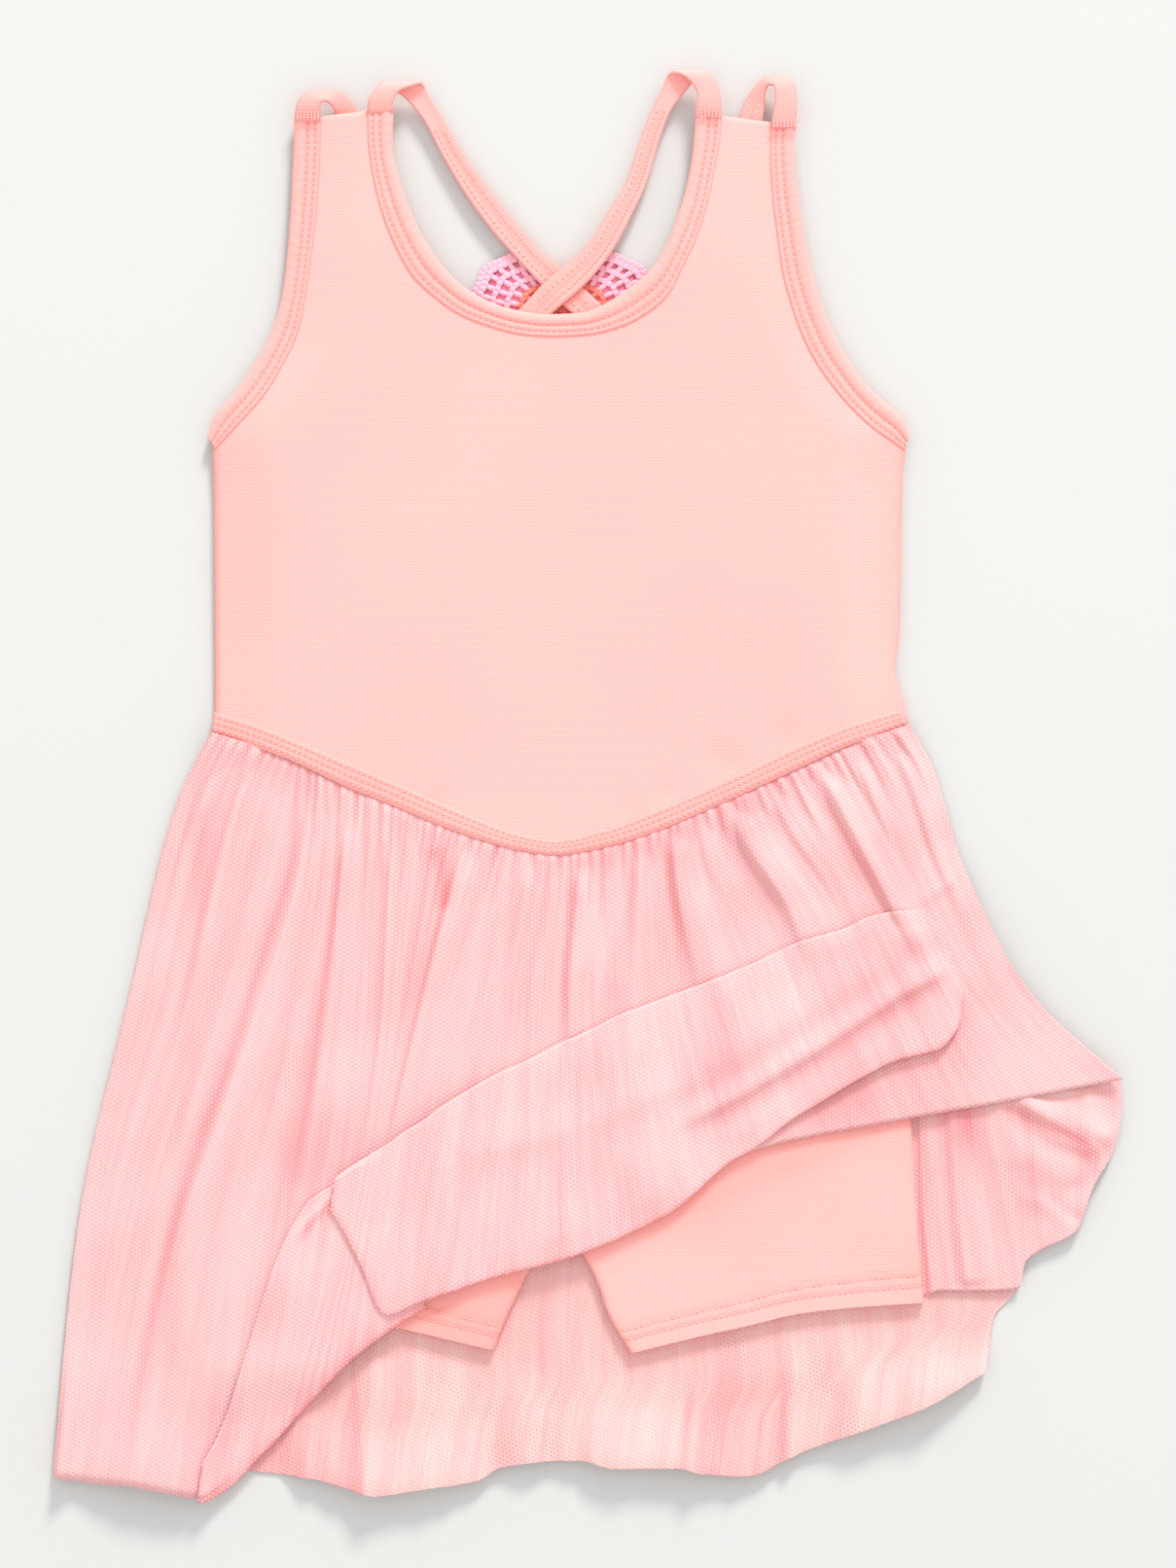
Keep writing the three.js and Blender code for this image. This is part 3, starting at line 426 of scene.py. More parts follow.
@dataclass(frozen=True)
class JerseyFinish:
    """Cotton and elastane single jersey: matt, soft, with faint crosswise courses and a fine grain.

    The real courses are 0.5 mm apart, and are drawn over 1 mm apart so that they show. Large soft
    patches, 70 mm across, are the unevenness of the dye. The shade colour is painted shade, laid on
    along edges, in dents and grooves and under other parts.
    """

    name: str
    face: str = "FFBBB5"
    shade: str = "FFA199"
    course_mm: float = 1.3
    grain_mm: float = 0.9
    patch_mm: float = 71.43

    def material(self) -> bpy.types.Material:
        """Make the jersey material.

        Returns:
            The material.
        """
        made, tree, place = empty_material(self.name)
        fine = {"Vector": place, "Scale": 1 / (self.grain_mm * MM), "Detail": 2.0}
        grain = add_node(tree, "TexNoise", fine)
        large = {"Vector": place, "Scale": 1 / (self.patch_mm * MM), "Detail": 1.0}
        patches = add_node(tree, "TexNoise", large)
        upward = add_node(tree, "SeparateXYZ", {"Vector": place}, "Y")
        wobble = add_node(tree, "Math", {0: grain, 1: 0.0006, 2: upward}, operation="MULTIPLY_ADD")
        turn = 2 * math.pi / (self.course_mm * MM)
        turns = add_node(tree, "Math", {0: wobble, 1: turn}, operation="MULTIPLY")
        course = add_node(tree, "Math", {0: turns}, operation="SINE")
        relief = add_node(tree, "Math", {0: course, 1: 0.25, 2: grain}, operation="MULTIPLY_ADD")
        # This attribute paints shade into the colour, with some random tone; the patches are random tone.
        painted_shade_and_tone = add_node(tree, "Attribute", output="Fac", attribute_name="painted_shade_and_tone")
        tone = add_node(tree, "Math", {0: patches, 1: 0.3, 2: painted_shade_and_tone}, operation="MULTIPLY_ADD")
        lines = add_node(tree, "Math", {0: relief, 1: 0.35, 2: tone}, operation="MULTIPLY_ADD")
        share = add_node(tree, "MapRange", {"Value": lines, "From Min": 0.2, "From Max": 1.2}, clamp=True)
        colours = {0: share, 6: rgb(self.face), 7: rgb(self.shade)}
        colour = add_node(tree, "Mix", colours, 2, data_type="RGBA")
        normal = add_node(tree, "Bump", {"Height": relief, "Strength": 0.18, "Distance": 0.0004})
        look = {
            "Base Color": colour, "Normal": normal, "Roughness": 0.9, "Specular IOR Level": 0.2,
            "Sheen Weight": 0.15,
        }
        add_node(tree, "OutputMaterial", {"Surface": add_node(tree, "BsdfPrincipled", look)})
        return made


@dataclass(frozen=True)
class TulleFinish:
    """Soft nylon tulle: a net of round holes, clear between its threads, with painted shade in deeper pink
    where it is gathered.

    The real holes are 1.3 mm apart, and are drawn 1.7 mm apart so that they show. Fine streaks run down
    the cloth where it is gathered. Each hole is partly painted in a light colour, as painted light from lit
    cloth below it, and in cloudy patches in a dimmer colour, as painted shade of the layers below.
    """

    name: str
    thread: str = "F9C1C0"
    shade_depth: str = "EE7E84"
    light: str = "FCE2DF"
    painted_shade_below: str = "D3989F"
    pitch_mm: float = 1.7
    cloud_mm: float = 45.45
    clear: float = 0.10
    turn_degrees: float = 0.0
    streaks: tuple[float, float, float] = (620.0, 16.0, 1.0)
    sways: tuple[float, float, float] = (130.0, 9.0, 1.0)

    def net(self, tree: bpy.types.NodeTree, place: Socket) -> Socket:
        """Draw the net from three sets of waves, 60 degrees apart.

        Args:
            tree: The material's nodes.
            place: The place on the object.

        Returns:
            A value that is highest in the middle of each hole.
        """
        wave = 4 * math.pi / (math.sqrt(3) * self.pitch_mm * MM)
        net = None
        for step in range(3):
            angle = math.radians(self.turn_degrees + 60 * step)
            across = (wave * math.cos(angle), wave * math.sin(angle), 0.0)
            phase = add_node(tree, "VectorMath", {0: place, 1: across}, "Value", operation="DOT_PRODUCT")
            ripple = add_node(tree, "Math", {0: phase}, operation="COSINE")
            net = ripple if net is None else add_node(tree, "Math", {0: net, 1: ripple}, operation="ADD")
        return net

    def material(self) -> bpy.types.Material:
        """Make the tulle material.

        Returns:
            The material.
        """
        made, tree, place = empty_material(self.name)
        cloth = add_node(tree, "UVMap", output="UV", uv_map="cloth")
        net = self.net(tree, place)
        rim = {"Value": net, "From Min": 0.1, "From Max": 1.6}
        hole = add_node(tree, "MapRange", rim, interpolation_type="SMOOTHSTEP", clamp=True)
        drawn = add_node(tree, "Mapping", {"Vector": cloth, "Scale": self.streaks})
        fine = {"Vector": drawn, "Scale": 1.0, "Detail": 3.0, "Roughness": 0.6}
        streak = add_node(tree, "TexNoise", fine)
        hung = add_node(tree, "Mapping", {"Vector": cloth, "Scale": self.sways})
        sway = add_node(tree, "TexNoise", {"Vector": hung, "Scale": 1.0, "Detail": 1.0})
        # The attribute gives painted shade with random tone; the thread colour deepens to the shade colour
        # there. Streaks and sways are random tone.
        painted_shade_and_tone = add_node(tree, "Attribute", output="Fac", attribute_name="painted_shade_and_tone")
        tone = add_node(tree, "Math", {0: streak, 1: 0.8, 2: painted_shade_and_tone}, operation="MULTIPLY_ADD")
        tone = add_node(tree, "Math", {0: sway, 1: 0.9, 2: tone}, operation="MULTIPLY_ADD")
        share = add_node(tree, "MapRange", {"Value": tone, "From Min": 0.68, "From Max": 1.95}, clamp=True)
        dyes = {0: share, 6: rgb(self.thread), 7: rgb(self.shade_depth)}
        thread_tone_and_shade = add_node(tree, "Mix", dyes, 2, data_type="RGBA")
        # Painted light through the holes: a light colour for lit cloth below, and in cloudy patches a dimmer
        # one as painted shade.
        large = {"Vector": place, "Scale": 1 / (self.cloud_mm * MM), "Detail": 2.0}
        cloud = add_node(tree, "TexNoise", large)
        below = add_node(tree, "MapRange", {"Value": cloud, "From Min": 0.52, "From Max": 0.68}, clamp=True)
        layers = {0: below, 6: rgb(self.light), 7: rgb(self.painted_shade_below)}
        painted_view_through_holes = add_node(tree, "Mix", layers, 2, data_type="RGBA")
        lit = add_node(tree, "Math", {0: hole, 1: 0.42}, operation="MULTIPLY")
        colour = add_node(tree, "Mix", {0: lit, 6: thread_tone_and_shade, 7: painted_view_through_holes}, 2, data_type="RGBA")
        relief = add_node(tree, "Math", {0: streak, 1: 2.0, 2: net}, operation="MULTIPLY_ADD")
        normal = add_node(tree, "Bump", {"Height": relief, "Strength": 0.22, "Distance": 0.0004})
        look = {
            "Base Color": colour, "Normal": normal, "Roughness": 0.75, "Specular IOR Level": 0.3,
            "Sheen Weight": 0.1,
        }
        face = add_node(tree, "BsdfPrincipled", look)
        through = add_node(tree, "BsdfTranslucent", {"Color": colour, "Normal": normal})
        thread = add_node(tree, "MixShader", {0: 0.05, 1: face, 2: through})
        gap = add_node(tree, "BsdfTransparent", {"Color": (1.0, 0.96, 0.96, 1.0)})
        seen = add_node(tree, "Math", {0: hole, 1: self.clear}, operation="MULTIPLY")
        # Where more shade is painted, the net is drawn less clear.
        deep = add_node(tree, "Math", {0: share, 1: 0.3}, operation="MULTIPLY")
        closed = add_node(tree, "Math", {0: seen, 1: deep}, operation="SUBTRACT", use_clamp=True)
        mixed = add_node(tree, "MixShader", {0: closed, 1: thread, 2: gap})
        add_node(tree, "OutputMaterial", {"Surface": mixed})
        return made


@dataclass(frozen=True)
class YarnFinish:
    """Spun thread or crochet cotton: matt, with the fine slant of its twist."""

    name: str
    light: str
    dark: str
    twist_mm: float = 0.9

    def material(self) -> bpy.types.Material:
        """Make the yarn material.

        Returns:
            The material.
        """
        made, tree, place = empty_material(self.name)
        fine = {"Vector": place, "Scale": 1 / (self.twist_mm * MM), "Detail": 3.0}
        twist = add_node(tree, "TexNoise", fine)
        colour = add_node(tree, "Mix", {0: twist, 6: rgb(self.dark), 7: rgb(self.light)}, 2, data_type="RGBA")
        normal = add_node(tree, "Bump", {"Height": twist, "Strength": 0.4, "Distance": 0.0003})
        look = {"Base Color": colour, "Normal": normal, "Roughness": 0.85, "Specular IOR Level": 0.2}
        add_node(tree, "OutputMaterial", {"Surface": add_node(tree, "BsdfPrincipled", look)})
        return made


@dataclass(frozen=True)
class PaperFinish:
    """Seamless studio paper: matt, near white, with a faint fibre."""

    name: str = "studio_paper"
    face: str = "D5D5D3"
    fibre_mm: float = 1.111

    def material(self) -> bpy.types.Material:
        """Make the paper material.

        Returns:
            The material.
        """
        made, tree, place = empty_material(self.name)
        fine = {"Vector": place, "Scale": 1 / (self.fibre_mm * MM), "Detail": 2.0}
        fibre = add_node(tree, "TexNoise", fine)
        normal = add_node(tree, "Bump", {"Height": fibre, "Strength": 0.03, "Distance": 0.0002})
        look = {"Base Color": rgb(self.face), "Normal": normal, "Roughness": 0.95, "Specular IOR Level": 0.1}
        add_node(tree, "OutputMaterial", {"Surface": add_node(tree, "BsdfPrincipled", look)})
        return made


@dataclass(frozen=True)
class Wardrobe:
    """All the finishes of the dress, made once."""

    jersey: bpy.types.Material
    binding: bpy.types.Material
    tulle: bpy.types.Material
    tulle_turned: bpy.types.Material
    tulle_back: bpy.types.Material
    thread: bpy.types.Material
    yarn_pink: bpy.types.Material
    yarn_coral: bpy.types.Material
    painted_shade_under_crochet: bpy.types.Material

    @staticmethod
    def make() -> "Wardrobe":
        """Make every finish.

        Returns:
            The finishes of the dress.
        """
        finishes = {
            "jersey": JerseyFinish("cotton_single_jersey"),
            "binding": JerseyFinish("folded_jersey_binding", face="FFB7B0", shade="FF8D86", course_mm=1.1),
            "tulle": TulleFinish("nylon_tulle"),
            "tulle_turned": TulleFinish("nylon_tulle_turned_up", thread="FAC8C7", turn_degrees=4),
            "tulle_back": TulleFinish(
                "nylon_tulle_single_layer", thread="F7C8C3", clear=0.25, turn_degrees=8
            ),
            "thread": YarnFinish("polyester_sewing_thread", light="FFDAD4", dark="FFA59D", twist_mm=0.5),
            "yarn_pink": YarnFinish("crochet_cotton_pink", light="FFCAD8", dark="FFB0C6"),
            "yarn_coral": YarnFinish("crochet_cotton_coral", light="FF9C8C", dark="F27A6C"),
            # Painted shade: the deep pink sheet under the crochet, seen through its holes.
            "painted_shade_under_crochet": YarnFinish("crochet_cotton_in_shade", light="F898B0", dark="F0849F"),
        }
        return Wardrobe(**{use: finish.material() for use, finish in finishes.items()})


@dataclass
class Swatch:
    """A grid of points on cloth, with the painted shade and tone at each and where it is on the flat cloth.
    Painted shade darkens the colour, and below zero it is a painted highlight.

    Rows run from the low edge to the high edge. Where flat is left out, the cloth lies as it is seen.
    """

    points: Array
    painted_shade_and_tone: Array | None = None
    flat: Array | None = None


def cloth_mesh(
    name: str, node: str, swatches: Sequence[Swatch], material: bpy.types.Material, wall: float
) -> bpy.types.Object:
    """Build one piece of cloth from swatches that share their edges.

    Args:
        name: The piece's name.
        node: The CAD node that it stands for.
        swatches: The grids of points.
        material: Its finish.
        wall: Its thickness in millimetres.

    Returns:
        The new object.
    """
    bm = bmesh.new()
    # Each point keeps its painted shade and tone, which the materials read to darken or lighten the colour.
    painted_shade_layer = bm.verts.layers.float.new("painted_shade_and_tone")
    uv_layer = bm.loops.layers.uv.new("cloth")
    for swatch in swatches:
        points = swatch.points * MM
        flat = points[..., :2] if swatch.flat is None else swatch.flat * MM
        shade_depth = np.zeros(points.shape[:2]) if swatch.painted_shade_and_tone is None else np.clip(swatch.painted_shade_and_tone, -1.0, 1.5)
        rows = points.shape[0] - 1
        columns = points.shape[1] - 1
        made = bmesh.ops.create_grid(bm, x_segments=columns, y_segments=rows, size=1.0)
        places = {}
        for vertex in made["verts"]:
            i = round((vertex.co.y + 1) / 2 * rows)
            j = round((vertex.co.x + 1) / 2 * columns)
            places[vertex] = flat[i, j]
            vertex[painted_shade_layer] = shade_depth[i, j]
            vertex.co = points[i, j]
        for face in {face for vertex in made["verts"] for face in vertex.link_faces}:
            for loop in face.loops:
                loop[uv_layer].uv = places[loop.vert]
    bmesh.ops.remove_doubles(bm, verts=bm.verts, dist=0.02 * MM)
    bm.normal_update()
    if sum(face.normal.z * face.calc_area() for face in bm.faces) < 0:
        bmesh.ops.reverse_faces(bm, faces=bm.faces)
    piece = finish_mesh(name, bm, material)
    solid = piece.modifiers.new("cloth_thickness", "SOLIDIFY")
    solid.thickness = wall * MM
    solid.offset = 0.0
    solid.use_even_offset = True
    return dress_piece(piece, node)


def finish_mesh(name: str, bm: bmesh.types.BMesh, material: bpy.types.Material) -> bpy.types.Object:
    """Turn a bmesh into a smooth object.

    Args:
        name: The object's name.
        bm: The mesh, which is freed.
        material: Its finish.

    Returns:
        The new object.
    """
    mesh = bpy.data.meshes.new(name)
    bm.to_mesh(mesh)
    bm.free()
    mesh.polygons.foreach_set("use_smooth", [True] * len(mesh.polygons))
    mesh.materials.append(material)
    piece = bpy.data.objects.new(name, mesh)
    bpy.context.collection.objects.link(piece)
    return piece


def dress_piece(piece: bpy.types.Object, node: str = "") -> bpy.types.Object:
    """Let a piece ride with the dress.

    Args:
        piece: The piece.
        node: The CAD node that it stands for; none for a piece of its own.

    Returns:
        The piece.
    """
    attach(piece, "root")
    if node:
        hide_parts(node)
    log.info("%s: %d faces", piece.name, len(piece.data.polygons))
    return piece


def add_thread(
    bm: bmesh.types.BMesh, centre: Vector, axes: Matrix, half_sizes: Sequence[float], fineness: int
) -> None:
    """Add one rounded thread.

    Args:
        bm: The mesh that takes it.
        centre: Its middle, in millimetres.
        axes: Its directions along, across and up, as the columns of a turn.
        half_sizes: Half its length, width and height, in millimetres.
        fineness: How finely its round form is divided.
    """
    scale = Matrix.Diagonal([size * MM for size in half_sizes]).to_3x3()
    matrix = Matrix.Translation(centre * MM) @ (axes @ scale).to_4x4()
    bmesh.ops.create_icosphere(bm, subdivisions=fineness, radius=1.0, matrix=matrix)


@dataclass(frozen=True)
class Seam:
    """A row of stitches: each is a small rounded thread along the row, a little proud of the cloth.

    The real thread is 0.3 mm thick, and is drawn thicker so that it shows.
    """

    stitch: float = 1.7
    gap: float = 0.8
    thick: float = 0.62
    high: float = 0.42
    slant: float = 0.0

    def sew(self, bm: bmesh.types.BMesh, row: Array, zigzag: float = 0.0) -> None:
        """Sew a row of stitches.

        Args:
            bm: The mesh that takes the stitches.
            row: Points along the row in millimetres, with their heights.
            zigzag: How far each second stitch lies to either side.
        """
        along = run_lengths(row)
        count = max(1, int(along[-1] / (self.stitch + self.gap)))
        middles = (np.arange(count) + 0.5) / count * along[-1]
        half = self.stitch / 2
        for i, middle in enumerate(middles):
            start, centre, end = [
                Vector([np.interp(at, along, row[:, axis]) for axis in range(3)])
                for at in (middle - half, middle, middle + half)
            ]
            run = (end - start).normalized()
            side = Vector((0, 0, 1)).cross(run).normalized()
            up = run.cross(side)
            way = 1 if i % 2 else -1
            turn = Matrix.Rotation(way * math.atan2(zigzag, half) + self.slant, 3, up)
            axes = Matrix((turn @ run, turn @ side, up)).transposed()
            add_thread(bm, centre, axes, (half, self.thick / 2, self.high / 2), 1)


def sewn(
    name: str, rows: Sequence[tuple[Seam, Array, float]], material: bpy.types.Material
) -> bpy.types.Object:
    """Sew rows of stitches as one piece.

    Args:
        name: The piece's name.
        rows: The kind of seam, its points and its zigzag, for each row.
        material: The thread's finish.

    Returns:
        The new object.
    """
    bm = bmesh.new()
    for seam, row, zigzag in rows:
        seam.sew(bm, row, zigzag)
    return dress_piece(finish_mesh(name, bm, material))


WAIST_POINTS = (
    (-150.7, 20.7), (-134.0, 15.6), (-116.8, 9.0), (-97.3, -0.4), (-77.8, -8.2), (-58.3, -16.4),
    (-39.2, -23.0), (-25.5, -26.5), (-11.9, -28.1), (-0.2, -26.5), (17.4, -22.2), (34.5, -16.0),
    (52.1, -8.2), (69.6, -0.4), (87.2, 7.8), (106.3, 16.4), (121.9, 21.4), (128.9, 23.8),
)
WAIST_LEFT = WAIST_POINTS[0][0]
WAIST_RIGHT = WAIST_POINTS[-1][0]
waist_height = Track(*zip(*WAIST_POINTS))


def waist_span(start: float, end: float, drop: float) -> Path:
    """Follow the waist line.

    Args:
        start: Where the path begins, across.
        end: Where it ends, across.
        drop: How far below the waist line it runs.

    Returns:
        The path.
    """

    def read(t: Array) -> Array:
        """Return the points at shares of the way across."""
        x = mix(start, end, np.asarray(t, float))
        return np.stack([x, waist_height(x) - drop], axis=-1)

    return read


LEFT_ARMHOLE = Curve([
    (-150.3, 138.5), (-140.6, 156.4), (-131.2, 168.1), (-124.6, 179.8), (-120.3, 194.2),
    (-118.0, 211.0), (-116.4, 229.3), (-115.6, 244.9), (-115.6, 267.2),
])
RIGHT_ARMHOLE = Curve([
    (128.0, 138.0), (119.9, 149.5), (112.1, 156.9), (104.5, 166.9), (97.3, 178.8), (91.8, 192.7),
    (87.1, 209.0), (84.0, 225.8), (81.7, 242.2), (80.5, 258.6), (82.0, 264.8),
])
NECK_EDGE = Curve([
    (-82.5, 270.7), (-83.0, 256.0), (-80.5, 241.0), (-75.0, 224.0), (-68.0, 210.0), (-59.5, 200.0),
    (-48.0, 191.5), (-34.0, 186.6), (-12.7, 184.2), (4.0, 186.2), (16.0, 190.8), (27.0, 198.8),
    (34.5, 209.0), (41.0, 225.0), (45.0, 240.0), (48.5, 255.0), (49.5, 268.7),
])
SIDE_HEIGHTS = (-40, 20, 61, 120, 138, 156, 180, 211, 245, 290)
side_limit_left = Track(
    SIDE_HEIGHTS, (-150.7, -150.7, -149.2, -149.8, -150.3, -140.6, -124.6, -118, -115.6, -115.6)
)
side_limit_right = Track(SIDE_HEIGHTS, (128.9, 128.9, 125.4, 126.6, 128, 112.1, 97.3, 87.1, 81.7, 80.5))


def from_side(x: Array, y: Array) -> Array:
    """Return how far a place lies inside the nearer side of the bodice."""
    return np.minimum(x - side_limit_left(y), side_limit_right(y) - x)


def bodice_under(x: Array, y: Array) -> Array:
    """Work out how high the bodice front lies.

    Args:
        x: Places across.
        y: Places upward.

    Returns:
        The height of its underside over the surface.
    """
    rim = mix(1.5, 3.5, ramp((y - 118) / 40))
    crown = mix(mix(4.8, 5.8, ramp((y + 20) / 60)), 4.8, ramp((y - 205) / 50))
    return mix(rim, crown, ramp(from_side(x, y) / 28))


def bodice_top(x: Array, y: Array) -> Array:
    """Return the height of the bodice front's face, with its soft drape above the waist."""
    drape = 0.16 * undulation(x, y, 5, 95) * ramp((y - 30) / 30)
    return bodice_under(x, y) + 1.0 + drape


@dataclass(frozen=True)
class Bodice:
    """Front and back of the bodice, cut from jersey."""

    left_side: Points = ((-150.7, 20.7), (-149.0, 31.6), (-149.2, 61.2), (-149.6, 110.0), (-150.3, 138.5))
    right_side: Points = (
        (128.9, 23.8), (127.7, 31.6), (123.8, 45.6), (125.4, 61.2), (126.6, 119.7), (128.0, 138.0),
    )
    back_top: Points = (
        (-149.3, 136.0), (-118.4, 128.3), (-71.6, 120.9), (-11.1, 116.6), (51.3, 120.9), (96.1, 128.3),
        (126.8, 136.0),
    )
    back_right_side: Points = ((126.7, 31.6), (122.8, 45.6), (124.4, 61.2), (125.6, 119.7), (126.8, 136.0))
    dimples: Points = ((18.9, -8.6), (31.8, -1.2), (52.1, 12.9), (59.9, 9.8), (80.0, 22.0), (-60.0, -4.0))
    armhole_split: tuple[float, float] = (0.42, 0.44)
    neck_split: tuple[float, float] = (0.335, 0.66)
    finer: int = 5
    dimple_size: tuple[float, float] = (5.5, 3.2)

    def front_swatch(self, place: Callable, columns: int, rows: int) -> Swatch:
        """Make a swatch of the front, with its drape, the small pulls along the waist seam, and its painted
        shade.

        Args:
            place: The surface that it covers.
            columns: Its count of coarse steps across.
            rows: Its count of coarse steps upward.

        Returns:
            The swatch.
        """
        x, y = np.moveaxis(place(*shares(columns * self.finer, rows * self.finer)), -1, 0)
        above = y - waist_height(x)
        near_seam = ramp(1 - above / 26)
        pulls = np.sin(x / 3.3 + 1.3 * np.sin(x / 11)) * near_seam * ramp(above / 6) * ramp((x - 5) / 30)
        z = bodice_top(x, y) + 0.22 * pulls * ramp((118 - x) / 20)
        # Random tone; painted shade in each dent and along the sides, and a lighter colour towards the waist.
        painted_shade_and_tone = 0.05 * undulation(x, y, 11, 120)
        wide, high = self.dimple_size
        for dx, dy in self.dimples:
            dent = np.exp(-(((x - dx) / wide) ** 2) - ((y - dy) / high) ** 2)
            z = z - 0.7 * dent
            painted_shade_and_tone = painted_shade_and_tone + 0.18 * dent
        painted_shade_and_tone = painted_shade_and_tone + 0.35 * np.exp(-np.maximum(from_side(x, y), 0) / 3.0) - 0.10 * ramp((y - 20) / -60)
        return Swatch(np.stack([x, y, z], axis=-1), painted_shade_and_tone)

    def front(self, finishes: Wardrobe) -> bpy.types.Object:
        """Build the front from its body and its two shoulders.

        Args:
            finishes: The finishes of the dress.

        Returns:
            The front.
        """
        left_arm, right_arm = self.armhole_split
        left_neck, right_neck = self.neck_split
        left_split = line(LEFT_ARMHOLE(np.array(left_arm)), NECK_EDGE(np.array(left_neck)))
        right_split = line(NECK_EDGE(np.array(right_neck)), RIGHT_ARMHOLE(np.array(right_arm)))
        body = patch(
            waist_span(WAIST_LEFT, WAIST_RIGHT, 0),
            joined([left_split, stretch(NECK_EDGE, left_neck, right_neck), right_split], [5, 12, 5]),
            joined([Curve(self.left_side), stretch(LEFT_ARMHOLE, 0, left_arm)], [5, 6]),
            joined([Curve(self.right_side), stretch(RIGHT_ARMHOLE, 0, right_arm)], [5, 6]),
        )
        left = patch(
            left_split,
            line(LEFT_ARMHOLE(np.array(1.0)), NECK_EDGE(np.array(0.0))),
            stretch(LEFT_ARMHOLE, left_arm, 1),
            stretch(NECK_EDGE, left_neck, 0),
        )
        right = patch(
            right_split,
            line(NECK_EDGE(np.array(1.0)), RIGHT_ARMHOLE(np.array(1.0))),
            stretch(NECK_EDGE, right_neck, 1),
            stretch(RIGHT_ARMHOLE, right_arm, 1),
        )
        swatches = [
            self.front_swatch(body, 22, 11),
            self.front_swatch(left, 5, 8),
            self.front_swatch(right, 5, 8),
        ]
        return cloth_mesh(
            "bodice_front_jersey", "bodice_front", swatches, finishes.jersey, JERSEY_WALL
        )

    def back(self, finishes: Wardrobe) -> bpy.types.Object:
        """Build the back, which lies on the surface.

        Args:
            finishes: The finishes of the dress.

        Returns:
            The back.
        """
        start, end = waist_span(WAIST_LEFT + 1, WAIST_RIGHT - 1, 0)(np.array([0.0, 1.0]))
        place = patch(
            waist_span(WAIST_LEFT + 1, WAIST_RIGHT - 1, 0),
            Curve(self.back_top),
            line(start, self.back_top[0]),
            Curve([end, *self.back_right_side]),
        )
        x, y = np.moveaxis(place(*shares(60, 30)), -1, 0)
        z = 0.65 + 0.12 * undulation(x, y, 3, 70)
        swatch = Swatch(np.stack([x, y, z], axis=-1))
        return cloth_mesh(
            "bodice_back_jersey", "bodice_back", [swatch], finishes.jersey, JERSEY_WALL
        )

    def build(self, finishes: Wardrobe) -> None:
        """Args:
            finishes: The finishes of the dress.
        """
        front = self.front(finishes)
        back = self.back(finishes)


# Section of a folded binding: share of its width from the garment side, height over the panel's face.
BINDING_SECTION = (
    (0.00, 0.10), (0.02, 0.55), (0.08, 0.80), (0.14, 0.78), (0.20, 0.42), (0.26, 0.80), (0.35, 0.95),
    (0.44, 0.84), (0.50, 0.46), (0.56, 0.98), (0.68, 1.28), (0.82, 1.22), (0.93, 0.85), (0.99, 0.20),
    (1.00, -0.45), (0.96, -1.10), (0.86, -1.50), (0.62, -1.60),
)
BAND_SECTION = (
    (0.00, 0.05), (0.05, 0.45), (0.15, 0.60), (0.24, 0.35), (0.34, 0.62), (0.46, 0.62), (0.55, 0.36),
    (0.65, 0.64), (0.75, 0.62), (0.84, 0.35), (0.93, 0.55), (1.00, 0.10),
)


@dataclass(frozen=True)
class Binding:
    """A folded strip of jersey sewn over an edge, with its rows of stitches lying in shallow grooves."""

    node: str
    inner: Path
    outer: Path
    base: Callable[[Array, Array], Array]
    cut: tuple[float, float]
    floor: float = 0.5
    section: Points = BINDING_SECTION
    rows: tuple[float, ...] = (0.20, 0.50)
    steps: int = 260
    wall: float = 0.45
    past_fold: int = 4
    groove: float = 0.045
    stitch_rise: float = 0.32

    def point(self, t: Array, share: Array, height: Array) -> Array:
        """Find points on the strip.

        Args:
            t: Shares of its length.
            share: Shares of its width, from the garment side.
            height: Heights over the panel's face.

        Returns:
            The points.
        """
        xy = mix(self.inner(t)[..., :2], self.outer(t)[..., :2], share[..., None])
        z = np.maximum(self.base(xy[..., 0], xy[..., 1]) + height, self.floor)
        return np.concatenate([xy, z[..., None]], axis=-1)

    def build(self, finishes: Wardrobe) -> None:
        """Args:
            finishes: The finishes of the dress.
        """
        width, height = np.array(self.section).T
        t = np.linspace(0, 1, self.steps + 1)
        grid_t, grid_width = np.meshgrid(t, width)
        ripple = 1 + 0.05 * np.sin(grid_t * self.steps * 0.9) * np.sin(grid_t * 37)
        points = self.point(grid_t, grid_width, height[:, None] * ripple)
        # Painted shade in the stitch grooves and where the binding meets the panel.
        grooves = sum(bump(grid_width - row, self.groove) for row in self.rows)
        swatch = Swatch(points, 0.80 * grooves + 0.6 * bump(grid_width, 0.03))
        name = f"{self.node}_jersey"
        strip = cloth_mesh(name, self.node, [swatch], finishes.binding, self.wall)
        rows = []
        for share in self.rows:
            rise = np.interp(share, width[: -self.past_fold], height[: -self.past_fold])
            rise += self.stitch_rise
            rows.append((Seam(), self.point(t, np.full_like(t, share), np.full_like(t, rise)), 0.0))
        thread = sewn(f"{name}_stitches", rows, finishes.thread)


